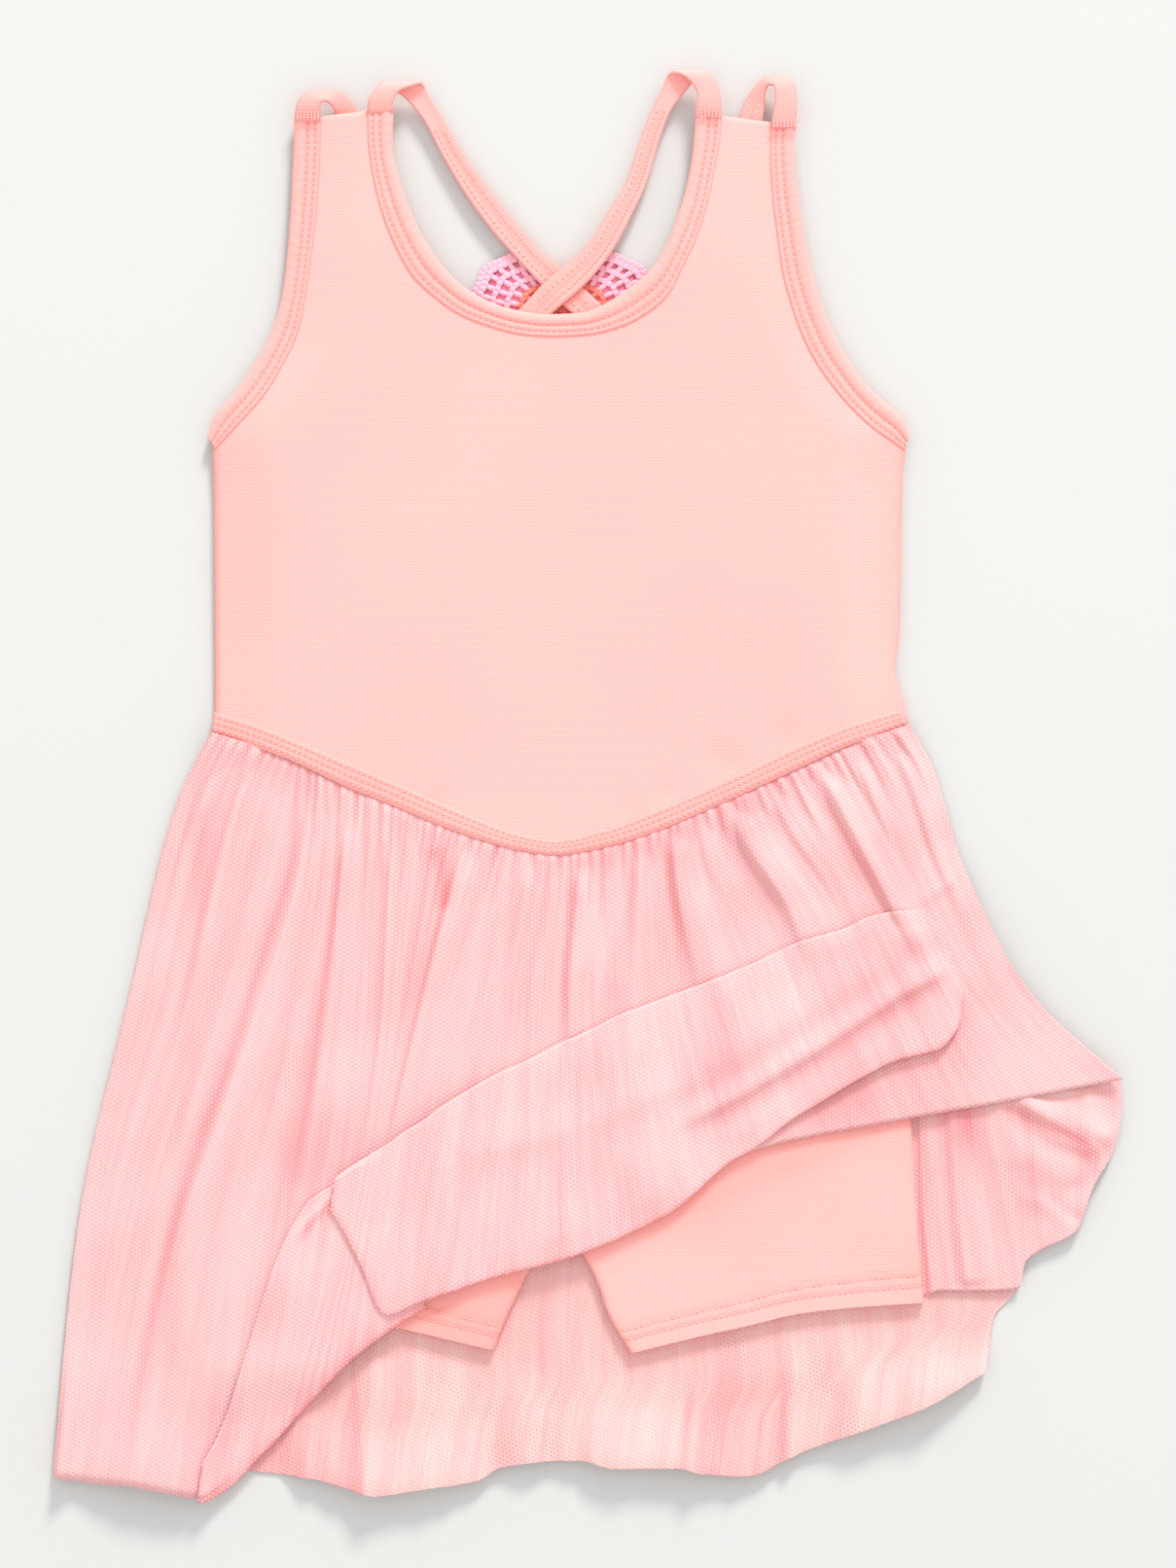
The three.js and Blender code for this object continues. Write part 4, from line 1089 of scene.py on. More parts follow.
NECK_INNER = Curve([
    (-87.9, 270.7), (-87.9, 261.7), (-86.8, 250.0), (-84.4, 237.1), (-80.9, 225.4), (-75.9, 213.7),
    (-69.6, 203.2), (-61.8, 195.8), (-51.3, 188.4), (-38.4, 183.3), (-25.5, 180.2), (-12.7, 179.4),
    (0.6, 180.2), (13.5, 183.3), (23.6, 188.4), (32.6, 196.2), (37.6, 205.9), (44.3, 220.3),
    (48.6, 234.4), (51.3, 247.7), (53.2, 258.6), (54.0, 268.7),
])
NECK_OUTER = Curve([
    (-77.8, 270.7), (-78.2, 256.2), (-75.9, 244.9), (-72.0, 233.2), (-66.9, 221.5), (-60.3, 211.0),
    (-52.5, 202.0), (-42.3, 195.0), (-29.4, 190.3), (-16.6, 188.4), (-3.3, 188.8), (6.8, 192.3),
    (15.8, 198.1), (25.2, 205.9), (30.2, 212.6), (35.7, 225.8), (40.0, 239.8), (42.7, 255.1), (43.7, 268.7),
])
LEFT_ARM_INNER = Curve([
    (-149.2, 134.9), (-137.9, 146.6), (-128.9, 156.8), (-121.9, 168.5), (-116.0, 181.3), (-112.9, 195.8),
    (-111.0, 208.7), (-109.0, 224.2), (-107.8, 239.5), (-107.1, 252.3), (-106.7, 267.5),
])
LEFT_ARM_OUTER = Curve([
    (-152.3, 139.6), (-149.2, 147.8), (-140.8, 158.0), (-132.6, 170.0), (-126.8, 181.0), (-122.5, 194.6),
    (-120.2, 211.0), (-118.8, 229.3), (-118.0, 244.9), (-117.4, 257.8), (-117.2, 267.5),
])
RIGHT_ARM_INNER = Curve([
    (127.3, 134.6), (114.5, 143.1), (106.7, 150.2), (99.3, 158.7), (91.5, 169.7), (86.0, 180.6),
    (81.7, 192.7), (78.2, 205.9), (76.2, 220.3), (74.3, 236.7), (73.5, 253.1), (74.0, 265.0),
])
RIGHT_ARM_OUTER = Curve([
    (129.3, 140.4), (126.6, 147.0), (119.9, 152.9), (112.1, 160.3), (105.5, 169.3), (99.3, 180.2),
    (94.0, 192.9), (89.3, 209.1), (86.2, 225.9), (83.9, 242.3), (82.8, 257.0), (84.0, 265.0),
])
BAND_TOP = Curve([
    (-149.6, 29.2), (-134.0, 24.4), (-107.1, 13.7), (-77.8, 1.2), (-48.8, -11.5), (-29.4, -19.1),
    (-13.8, -22.2), (5.7, -18.3), (28.9, -9.6), (57.9, 3.1), (87.2, 16.8), (106.5, 24.4), (126.2, 30.2),
])


@dataclass(frozen=True)
class Trim:
    """All the bindings and the waist band."""

    back_width: float = 10.0

    def build(self, finishes: Wardrobe) -> None:
        """Build the bindings and the band with their stitches.

        Args:
            finishes: The finishes of the dress.
        """
        back_line = stretch(Curve(Bodice().back_top), 0.03, 0.97)
        back_low, back_high = (shifted(back_line, 0, way * self.back_width / 2) for way in (-1, 1))
        band_low = waist_span(WAIST_LEFT, WAIST_RIGHT, -0.3)
        bindings = (
            Binding("neck_binding", NECK_INNER, NECK_OUTER, bodice_top, (0.0155, 0.285), steps=420),
            Binding("armhole_binding_left", LEFT_ARM_INNER, LEFT_ARM_OUTER, bodice_top, (0.0155, 0.145)),
            Binding("armhole_binding_right", RIGHT_ARM_INNER, RIGHT_ARM_OUTER, bodice_top, (0.0155, 0.150)),
            Binding(
                "back_binding", back_low, back_high, lambda x, y: np.full_like(x, 1.3), (0.0155, 0.270),
                floor=0.35,
            ),
            Binding(
                "waist_band", BAND_TOP, band_low, bodice_top, (0.0100, 0.300),
                section=BAND_SECTION, rows=(0.24, 0.55, 0.84), steps=320,
            ),
        )
        for binding in bindings:
            binding.build(finishes)


# Straps: one row per step along them, with x, y and height of the left edge and of the right edge.
STRAP_ROWS: dict[str, Points] = {
    "strap_left_inner": (
        (-87.9, 271.1, 7.2, -77.8, 271.3, 7.2), (-87.4, 274.4, 8.0, -77.2, 274.8, 8.2),
        (-85.2, 277.7, 8.2, -74.6, 277.9, 8.2), (-82.9, 280.4, 7.3, -68.4, 280.4, 7.3),
        (-82.1, 281.2, 6.0, -66.1, 281.2, 6.0), (-80.1, 280.0, 4.7, -64.9, 279.6, 4.7),
        (-74.7, 277.0, 4.0, -63.4, 276.6, 4.0), (-66.9, 268.7, 3.7, -57.9, 267.5, 3.7),
        (-57.9, 252.3, 3.6, -48.9, 252.3, 3.6), (-48.9, 237.1, 3.6, -38.4, 238.3, 3.6),
        (-38.4, 222.7, 3.6, -27.9, 225.4, 3.6), (-27.9, 211.0, 3.6, -18.9, 214.9, 3.6),
        (-16.6, 198.9, 3.6, -9.6, 206.7, 3.6), (-1.4, 184.9, 3.6, 5.7, 192.7, 3.6),
        (26.3, 155.2, 3.6, 33.3, 162.2, 3.6), (42.3, 134.9, 3.7, 50.1, 140.8, 3.7),
        (48.2, 124.8, 3.75, 56.0, 130.3, 3.75),
    ),
    "strap_right_inner": (
        (43.5, 269.4, 7.2, 53.9, 269.4, 7.2), (44.1, 276.0, 8.2, 53.4, 276.4, 8.2),
        (41.1, 281.6, 8.2, 51.3, 282.0, 8.2), (36.1, 285.0, 7.3, 48.6, 285.0, 7.3),
        (33.7, 285.5, 6.0, 47.0, 285.5, 6.0), (32.2, 284.3, 4.7, 44.7, 284.3, 4.7),
        (30.6, 280.4, 4.0, 40.0, 278.9, 4.0), (26.3, 271.8, 3.8, 33.7, 270.7, 3.8),
        (21.3, 259.0, 4.0, 29.4, 260.1, 4.0), (15.8, 242.2, 4.3, 24.4, 243.0, 4.3),
        (8.0, 229.3, 4.9, 18.1, 228.9, 4.9), (0.2, 216.5, 5.4, 9.9, 213.7, 5.4),
        (-10.3, 207.1, 5.45, -2.5, 198.9, 5.45), (-16.6, 202.0, 5.4, -9.0, 193.4, 5.35),
        (-22.6, 195.6, 4.6, -15.6, 187.6, 4.5), (-53.6, 162.2, 3.6, -46.6, 155.2, 3.6),
        (-70.4, 140.8, 3.7, -62.6, 134.9, 3.7), (-76.2, 130.3, 3.75, -68.4, 124.8, 3.75),
    ),
    "strap_left_outer": (
        (-117.0, 267.9, 6.2, -106.9, 267.9, 6.2), (-116.0, 273.0, 7.4, -106.7, 271.8, 7.6),
        (-112.9, 276.9, 7.0, -105.9, 273.4, 8.0), (-106.7, 278.5, 6.0, -104.7, 273.8, 7.4),
        (-100.4, 278.5, 4.8, -103.2, 273.0, 6.0), (-95.4, 275.3, 3.4, -101.6, 271.1, 4.2),
        (-92.2, 270.7, 2.3, -100.8, 267.9, 2.6), (-90.3, 262.1, 2.0, -99.6, 260.5, 2.0),
        (-88.7, 236.7, 2.0, -98.5, 236.7, 2.0), (-88.7, 186.0, 2.0, -98.5, 186.0, 2.0),
        (-91.1, 152.0, 2.4, -100.8, 152.0, 2.4), (-92.2, 134.9, 3.7, -102.0, 137.3, 3.7),
        (-92.6, 124.0, 3.75, -102.4, 126.0, 3.75),
    ),
    "strap_right_outer": (
        (74.0, 265.4, 6.4, 83.8, 265.4, 6.2), (75.1, 273.4, 7.6, 84.0, 273.8, 7.4),
        (75.1, 278.1, 8.0, 83.3, 280.4, 7.0), (74.3, 280.4, 7.4, 79.0, 283.5, 6.0),
        (72.7, 280.4, 6.0, 72.3, 283.9, 4.8), (71.6, 277.7, 4.2, 66.9, 279.6, 3.4),
        (71.2, 271.8, 2.7, 63.0, 273.4, 2.3), (70.0, 260.9, 2.0, 60.3, 262.5, 2.0),
        (71.2, 236.7, 2.0, 61.4, 236.7, 2.0), (73.5, 186.0, 2.0, 63.8, 186.0, 2.0),
        (75.9, 152.0, 2.4, 66.1, 152.0, 2.4), (76.6, 134.9, 3.7, 66.9, 134.0, 3.7),
        (77.0, 126.0, 3.75, 67.3, 124.5, 3.75),
    ),
}


@dataclass(frozen=True)
class Strap:
    """A strap of folded binding; past its loop over the shoulder its sewn inner side shows."""

    node: str
    cut: tuple[float, float]
    hidden_from: float
    wall: float = 1.1
    steps: int = 160
    across: int = 8
    crown: float = 0.22
    loop_end: float = 0.17
    tuck: tuple[float, float, float] = (0.0, -1.8, -0.7)

    def build(self, finishes: Wardrobe) -> None:
        """Args:
            finishes: The finishes of the dress.
        """
        table = np.asarray(STRAP_ROWS[self.node], float)
        table = np.concatenate([table[:1] + np.array(self.tuck * 2), table])
        middle = (table[:, :3] + table[:, 3:]) / 2
        t = np.linspace(0, 1, self.steps + 1)
        rows = Curve(np.concatenate([middle, table], axis=1))(t)
        left = rows[:, 3:6]
        right = rows[:, 6:9]
        along = np.gradient((left + right) / 2, axis=0)
        normal = np.cross(right - left, along)
        normal /= np.linalg.norm(normal, axis=1)[:, None]

        def at(share: float, rise: float) -> Array:
            """Return a line of points along the strap."""
            return mix(left, right, share) + normal * rise

        widths = np.linspace(0, 1, self.across + 1)
        points = np.stack([at(width, self.crown * math.sin(math.pi * width)) for width in widths])
        widths = widths[:, None] + np.zeros_like(t)
        seen = ramp((t - self.loop_end) / 0.02)
        # Darker along the middle of the sewn inner side, and painted shade along both edges.
        painted_shade_and_tone = 0.30 * seen * bump(widths - 0.5, 0.07) + 0.25 * bump(np.minimum(widths, 1 - widths), 0.06)
        name = f"{self.node}_jersey"
        swatch = Swatch(points, painted_shade_and_tone)
        strip = cloth_mesh(name, self.node, [swatch], finishes.binding, self.wall)
        first = int(self.loop_end * self.steps) + 2
        last = int(self.hidden_from * self.steps)
        face = math.copysign(self.wall / 2 + 0.15, normal[first][2])
        overlock = (Seam(stitch=1.5, gap=0.0, thick=0.5), at(0.70, face)[first:last], 0.9)
        straight = (Seam(), at(0.30, face)[first:last], 0.0)
        thread = sewn(f"{self.node}_stitches", [overlock, straight], finishes.thread)


@dataclass(frozen=True)
class Bartack:
    """A dense bar of stitches where a strap leaves the binding."""

    name: str
    start: tuple[float, float, float]
    end: tuple[float, float, float]
    rows: int = 3
    row_step: tuple[float, float, float] = (0.0, 1.05, 0.05)

    def build(self, finishes: Wardrobe) -> None:
        """Build the bar from rows of close stitches.

        Args:
            finishes: The finishes of the dress.
        """
        low = np.linspace(self.start, self.end, 12)
        seam = Seam(stitch=1.1, gap=0.25, thick=0.95, high=0.8, slant=1.3)
        rows = [(seam, low + np.array(self.row_step) * k, 0.0) for k in range(self.rows)]
        sewn(self.name, rows, finishes.thread)


@dataclass(frozen=True)
class CrochetHeart:
    """A heart crocheted in rounds: solid edge, open rounds of posts, and a coral middle.

    Only the part above seen_from has stitches; below it the bodice front hides the sheet of painted shade
    that lies under all the yarn, a deep pink seen through the crochet's holes.
    """

    centre: tuple[float, float] = (-9.5, 186.5)
    half_width: float = 37.0
    half_height: float = 36.5
    rounds: tuple[float, ...] = (0.97, 0.90, 0.76, 0.61, 0.46, 0.34, 0.22, 0.11)
    last_round: float = 0.04
    coral_inside: float = 0.50
    yarn: float = 2.3
    pitch: float = 2.3
    loop_spread: float = 0.55
    top: float = 1.75
    seen_from: float = 180.0
    scallops: int = 20
    scallop_depth: float = 0.018
    shade_sheet_height: float = 0.6
    shade_sheet_wall: float = 0.8

    def outline(self, turn: Array, share: Array) -> Array:
        """Find points of the heart.

        Args:
            turn: Shares of a turn round it.
            share: Shares of its size.

        Returns:
            The points.
        """
        angle = turn * 2 * math.pi
        x = np.sin(angle) ** 3
        y = (13 * np.cos(angle) - 5 * np.cos(2 * angle) - 2 * np.cos(3 * angle) - np.cos(4 * angle)) / 16
        scallop = 1 + self.scallop_depth * np.cos(self.scallops * angle) * share
        return np.stack([
            self.centre[0] + self.half_width * x * share * scallop,
            self.centre[1] + self.half_height * (y * share * scallop + 0.06 * (1 - share)),
        ], axis=-1)

    def stitch(self, bm: bmesh.types.BMesh, start: Array, end: Array, thick: float, rise: float) -> None:
        """Add one loop of yarn.

        Args:
            bm: The mesh that takes it.
            start: Its first end.
            end: Its other end.
            thick: Its thickness.
            rise: The height of its middle.
        """
        run = Vector((*(end - start), 0.0))
        half = max(run.length / 2, 0.4)
        run.normalize()
        up = Vector((0, 0, 1))
        axes = Matrix((run, up.cross(run), up)).transposed()
        centre = Vector((*((start + end) / 2), rise))
        add_thread(bm, centre, axes, (half, thick / 2, thick / 4), 2)

    def crochet_round(self, bm: bmesh.types.BMesh, size: float, inner_size: float) -> None:
        """Crochet one round: a chain along it, and posts from it to the next round inward.

        Args:
            bm: The mesh that takes the yarn.
            size: The round's share of the heart's size.
            inner_size: The next round's share.
        """
        fine = np.linspace(0, 1, 721)
        along = run_lengths(self.outline(fine, np.full_like(fine, size)))
        count = max(8, int(along[-1] / self.pitch))
        turns = np.interp(np.arange(count + 1) / count * along[-1], along, fine)
        ring = self.outline(turns, np.full_like(turns, size))
        inner = self.outline(turns, np.full_like(turns, inner_size))
        for i in range(count):
            if ring[i][1] < self.seen_from:
                continue
            run = ring[i + 1] - ring[i]
            side = np.array([-run[1], run[0]]) / max(np.linalg.norm(run), 1e-6)
            for way in (-self.loop_spread, self.loop_spread):
                start = ring[i] + side * way - run * 0.25
                end = ring[i + 1] + side * way * 0.4
                self.stitch(bm, start, end, self.yarn * 0.75, self.top)
            if i % 2 == 0 or size == self.rounds[0]:
                self.stitch(bm, ring[i], inner[i], self.yarn, self.top - 0.25)

    def build(self, finishes: Wardrobe) -> None:
        """Args:
            finishes: The finishes of the dress.
        """
        # A deep pink sheet of painted shade lies under the yarn and shows through the holes.
        share, turn = np.meshgrid(np.array([0.02, 0.3, 0.6, 0.92]), np.linspace(0, 1, 161), indexing="ij")
        level = np.full_like(share, self.shade_sheet_height)[..., None]
        painted_shade_sheet = Swatch(np.concatenate([self.outline(turn, share), level], axis=-1))
        painted_shade_piece = cloth_mesh(
            "crochet_heart_painted_shade", "crochet_heart", [painted_shade_sheet], finishes.painted_shade_under_crochet,
            self.shade_sheet_wall,
        )
        meshes = {"pink": bmesh.new(), "coral": bmesh.new()}
        for size, inner_size in zip(self.rounds, (*self.rounds[1:], self.last_round)):
            self.crochet_round(meshes["coral" if size < self.coral_inside else "pink"], size, inner_size)
        for colour, finish in (("pink", finishes.yarn_pink), ("coral", finishes.yarn_coral)):
            yarn = finish_mesh(f"crochet_heart_{colour}_yarn", meshes[colour], finish)
            dress_piece(yarn)


@dataclass(frozen=True)
class Shorts:
    """Two legs, each a front on a back, with a turned hem and two rows of stitches."""

    left_outer: Points = (
        (-148.0, -2.3), (-148.4, -53.8), (-151.1, -88.1), (-152.3, -116.6), (-155.8, -153.3),
        (-158.9, -206.3),
    )
    left_hem: Points = ((-158.9, -206.3), (-137.1, -208.3), (-86.8, -215.7), (-79.4, -217.2), (-37.6, -227.0))
    right_hem: Points = (
        (17.7, -228.2), (44.7, -221.5), (64.2, -217.2), (85.6, -212.2), (107.1, -209.8), (135.1, -207.9),
    )
    right_outer: Points = (
        (124.2, -18.7), (125.4, -45.6), (127.3, -75.3), (130.1, -135.7), (132.0, -168.5), (135.1, -207.9),
    )
    left_inner: Points = ((-11.85, -100), (-11.85, -172.0), (-22.8, -193.8), (-33.0, -215.3), (-37.6, -227.0))
    right_inner: Points = (
        (-11.5, -100), (-11.5, -172.0), (-1.8, -188.0), (4.1, -199.7), (8.0, -211.4), (17.7, -228.2),
    )
    hem_rows: tuple[float, ...] = (6.0, 10.0)
    flat: tuple[float, float] = (0.152, 0.245)
    leg_length: float = 200.0
    half_wall: float = 0.5
    hem_width: float = 11.4
    hem_rise: float = 0.42
    stitch_rise: float = 0.42

    def legs(self) -> dict[str, Callable]:
        """Lay out the legs.

        Returns:
            The surface of each leg, by its side.
        """
        left_waist = waist_span(-145.7, -11.85, 0.8)
        right_waist = waist_span(-11.5, 122.6, 0.8)

        def side(waist: Path, end: float, points: Points) -> Path:
            """Return one side of a leg, upward from its hem to an end of its waist."""
            return stretch(Curve([waist(np.array(end)), *points]), 1, 0)

        return {
            "left": patch(
                Curve(self.left_hem), left_waist,
                side(left_waist, 0.0, self.left_outer), side(left_waist, 1.0, self.left_inner),
            ),
            "right": patch(
                Curve(self.right_hem), right_waist,
                side(right_waist, 0.0, self.right_inner), side(right_waist, 1.0, self.right_outer),
            ),
        }

    def build(self, finishes: Wardrobe) -> None:
        """Args:
            finishes: The finishes of the dress.
        """
        for leg, place in self.legs().items():
            for layer, under in (("back", SHORTS_BACK_Z), ("front", SHORTS_FRONT_Z)):
                swatch = self.swatch(leg, place, under + self.half_wall, layer == "front")
                name = f"shorts_{layer}_{leg}"
                panel = cloth_mesh(
                    f"{name}_jersey", name, [swatch], finishes.jersey, JERSEY_WALL
                )
                if layer == "front":
                    self.hem_stitches(finishes, leg, place, under + self.half_wall)

    def swatch(self, leg: str, place: Callable, level: float, is_front: bool) -> Swatch:
        """Make the swatch of one panel; a front has the hem's relief and shading too.

        Args:
            leg: The side of the leg.
            place: The leg's surface.
            level: The height of the cloth's middle.
            is_front: Whether it is a front.

        Returns:
            The swatch.
        """
        s, t = shares(70, 110)
        t = t**1.35
        x, y = np.moveaxis(place(s, t), -1, 0)
        hem = t * self.leg_length
        face = np.full_like(x, level)
        painted_shade_and_tone = 0.06 * undulation(x, y, 21, 60)
        if is_front:
            turned = self.hem_rise * ramp(self.hem_width - hem)
            dents = sum(bump(hem - row, 0.9) for row in self.hem_rows)
            soft = 0.12 * undulation(x, y, 8 if leg == "left" else 9, 45) * ramp(hem / 20)
            edge = np.minimum(s, 1 - s) * 150
            face = face + turned - 0.22 * dents + np.abs(soft) - 0.35 * np.exp(-edge / 2.0)
            face = face + 0.18 * np.sin(x / 1.9 + np.sin(x / 7)) * bump(hem - 8, 3.0)
            # Painted shade in the stitch dents, along the turned hem's edge and along the leg's sides.
            painted_shade_and_tone = painted_shade_and_tone + 0.55 * dents + 0.25 * bump(hem - 11.8, 0.8) + 0.3 * np.exp(-edge / 2.5)
            # Painted shadow of the turned-up skirt over the leg.
            below_flap = np.maximum(0.41 * (x + 1.4) - 188 - y, 0)
            shade = 0.45 * np.exp(-below_flap / 8) if leg == "right" else 0.50 * ramp((-192 - y) / 6)
            painted_shade_and_tone = painted_shade_and_tone + shade
        return Swatch(np.stack([x, y, face], axis=-1), painted_shade_and_tone)

    def hem_stitches(self, finishes: Wardrobe, leg: str, place: Callable, level: float) -> bpy.types.Object:
        """Sew the hem of one leg's front.

        Args:
            finishes: The finishes of the dress.
            leg: The side of the leg.
            place: The leg's surface.
            level: The height of the cloth's middle.

        Returns:
            The stitches.
        """
        across = np.linspace(0.012, 0.988, 200)
        rows = []
        for row in self.hem_rows:
            spot = place(across, np.full_like(across, row / self.leg_length))
            height = np.full((len(across), 1), level + self.hem_rise + self.stitch_rise)
            rows.append((Seam(), np.concatenate([spot, height], axis=1), 0.0))
        return sewn(f"shorts_hem_{leg}_stitches", rows, finishes.thread)


# Skirt front: share across, then each column's waist, top, upper, lower and edge points.
SKIRT_COLUMNS = (
    (0.000, -150.7, 20.3, -164.4, -6.2, -183.1, -81.1, -204.9, -179.4, -214.7, -277.3),
    (0.092, -125.0, 11.7, -133.2, -9.8, -152.7, -87.0, -180.8, -180.6, -198.3, -280.0),
    (0.141, -111.3, 6.2, -114.1, -24.2, -134.4, -95.2, -165.6, -188.0, -184.3, -280.4),
    (0.169, -103.5, 2.3, -105.5, -26.5, -117.6, -96.7, -138.6, -188.4, -151.9, -286.3),
    (0.199, -95.0, -1.9, -97.3, -29.2, -105.1, -97.1, -118.4, -185.2, -133.2, -271.4),
    (0.265, -76.6, -9.4, -78.6, -34.3, -82.5, -94.8, -96.1, -177.5, -113.7, -250.0),
    (0.372, -46.6, -21.1, -53.2, -41.0, -67.7, -93.6, -82.9, -162.6, -93.0, -229.0),
    (0.450, -25.0, -27.1, -28.0, -42.0, -37.0, -90.0, -45.0, -150.0, -50.0, -201.5),
    (0.529, -2.9, -27.6, -3.7, -44.5, -6.8, -84.6, -6.0, -137.3, -4.5, -188.4),
    (0.600, 17.0, -22.8, 16.8, -37.0, 16.0, -74.0, 21.0, -121.5, 31.2, -172.6),
    (0.662, 34.5, -16.6, 34.9, -29.6, 40.8, -63.6, 52.1, -106.9, 63.0, -149.0),
    (0.746, 57.9, -6.2, 61.8, -18.3, 80.9, -49.1, 98.9, -94.8, 117.6, -137.0),
    (0.866, 91.5, 9.3, 98.5, -3.5, 116.8, -38.2, 141.0, -85.0, 164.4, -128.7),
    (1.000, 128.9, 23.3, 137.9, 9.4, 150.7, -31.6, 176.1, -81.1, 215.6, -119.0),
)
# Where these five points lie down the cloth, as shares of its length.
STATIONS = (0.0, 0.1, 0.36, 0.68, 1.0)
# Turned-up corner: share across, then where its hem lies on the front, as a share down.
CORNER_ROWS = (
    (0.160, 0.985), (0.173, 0.890), (0.180, 0.806), (0.190, 0.687), (0.199, 0.639), (0.210, 0.612),
    (0.232, 0.600), (0.250, 0.618), (0.265, 0.630), (0.300, 0.640), (0.340, 0.660), (0.372, 0.680),
    (0.400, 0.700), (0.420, 0.700),
)
# Turned-up middle: share across, then where its hem and its low fold lie, as shares down.
MIDDLE_ROWS = (
    (0.232, 0.587, 0.632), (0.250, 0.576, 0.662), (0.265, 0.572, 0.685), (0.300, 0.574, 0.730),
    (0.340, 0.585, 0.775), (0.372, 0.589, 0.838), (0.398, 0.572, 0.952), (0.401, 0.570, 0.960),
    (0.404, 0.566, 0.963), (0.420, 0.541, 0.972),
    (0.450, 0.508, 0.992), (0.490, 0.484, 0.992), (0.529, 0.463, 0.992), (0.580, 0.467, 0.992),
    (0.620, 0.478, 0.992), (0.662, 0.482, 0.985), (0.700, 0.474, 0.915), (0.746, 0.455, 0.846),
    (0.790, 0.457, 0.816), (0.830, 0.444, 0.813), (0.866, 0.446, 0.768), (0.900, 0.455, 0.680),
    (0.920, 0.464, 0.663), (0.940, 0.480, 0.620), (0.960, 0.495, 0.578), (0.975, 0.508, 0.546),
    (1.000, 0.520, 0.535),
)
corner_hem = Track(*zip(*CORNER_ROWS))
middle_u, middle_hems, middle_lows = zip(*MIDDLE_ROWS)
middle_hem = Track(middle_u, middle_hems)
middle_low = Track(middle_u, middle_lows)

# Outer sides of the shorts, which the skirt lies over.
LIMIT_HEIGHTS = (-290, -206, -153, -88, -54, -2, 30)
shorts_limit_left = Track(LIMIT_HEIGHTS, (-158.9, -158.9, -155.8, -151.1, -148.4, -148.0, -145.7))
shorts_limit_right = Track(LIMIT_HEIGHTS, (136.0, 135.1, 131.0, 128.0, 125.6, 124.2, 122.6))


@dataclass(frozen=True)
class Fold:
    """A long fold of the skirt front, steep on its left and long on its right.

    Its place and widths are shares of the width; its start and end are shares of the length. Its tint is how
    much shade is painted at its foot.
    """

    u: float
    height: float
    left: float
    right: float
    start: float
    end: float
    tint: float
    drift: float = 0.0


FRONT_FOLDS = (
    Fold(0.030, 1.2, 0.008, 0.014, 0.02, 0.50, 0.10),
    Fold(0.075, 2.2, 0.007, 0.020, 0.02, 0.60, 0.25, -0.006),
    Fold(0.110, 1.2, 0.006, 0.012, 0.03, 0.90, 0.12),
    Fold(0.141, 3.2, 0.005, 0.020, 0.03, 1.30, 0.55),
    Fold(0.170, 1.3, 0.005, 0.012, 0.02, 0.45, 0.15),
    Fold(0.199, 3.6, 0.006, 0.022, 0.03, 0.80, 0.55),
    Fold(0.232, 1.4, 0.005, 0.012, 0.01, 0.30, 0.15),
    Fold(0.265, 2.2, 0.006, 0.020, 0.02, 0.60, 0.35, 0.004),
    Fold(0.300, 1.3, 0.005, 0.014, 0.01, 0.40, 0.20),
    Fold(0.334, 1.6, 0.006, 0.014, 0.01, 0.55, 0.22),
    Fold(0.372, 3.4, 0.006, 0.024, 0.01, 0.70, 0.60),
    Fold(0.410, 1.2, 0.006, 0.014, 0.01, 0.32, 0.15),
    Fold(0.459, 2.4, 0.005, 0.016, 0.01, 0.34, 0.40),
    Fold(0.495, 1.0, 0.005, 0.012, 0.01, 0.30, 0.15),
    Fold(0.529, 3.4, 0.005, 0.022, 0.01, 0.60, 0.70),
    Fold(0.570, 1.2, 0.005, 0.014, 0.01, 0.26, 0.15),
    Fold(0.610, 2.0, 0.006, 0.016, 0.01, 0.40, 0.35),
    Fold(0.662, 3.0, 0.005, 0.020, 0.01, 0.60, 0.75, 0.004),
    Fold(0.700, 1.3, 0.005, 0.014, 0.01, 0.30, 0.20),
    Fold(0.746, 3.2, 0.006, 0.022, 0.02, 0.62, 0.55),
    Fold(0.800, 1.6, 0.006, 0.016, 0.01, 0.45, 0.25),
    Fold(0.866, 3.2, 0.006, 0.022, 0.02, 0.75, 0.55),
    Fold(0.910, 2.0, 0.005, 0.014, 0.01, 0.30, 0.30),
    Fold(0.965, 2.0, 0.006, 0.016, 0.03, 0.50, 0.25),
)


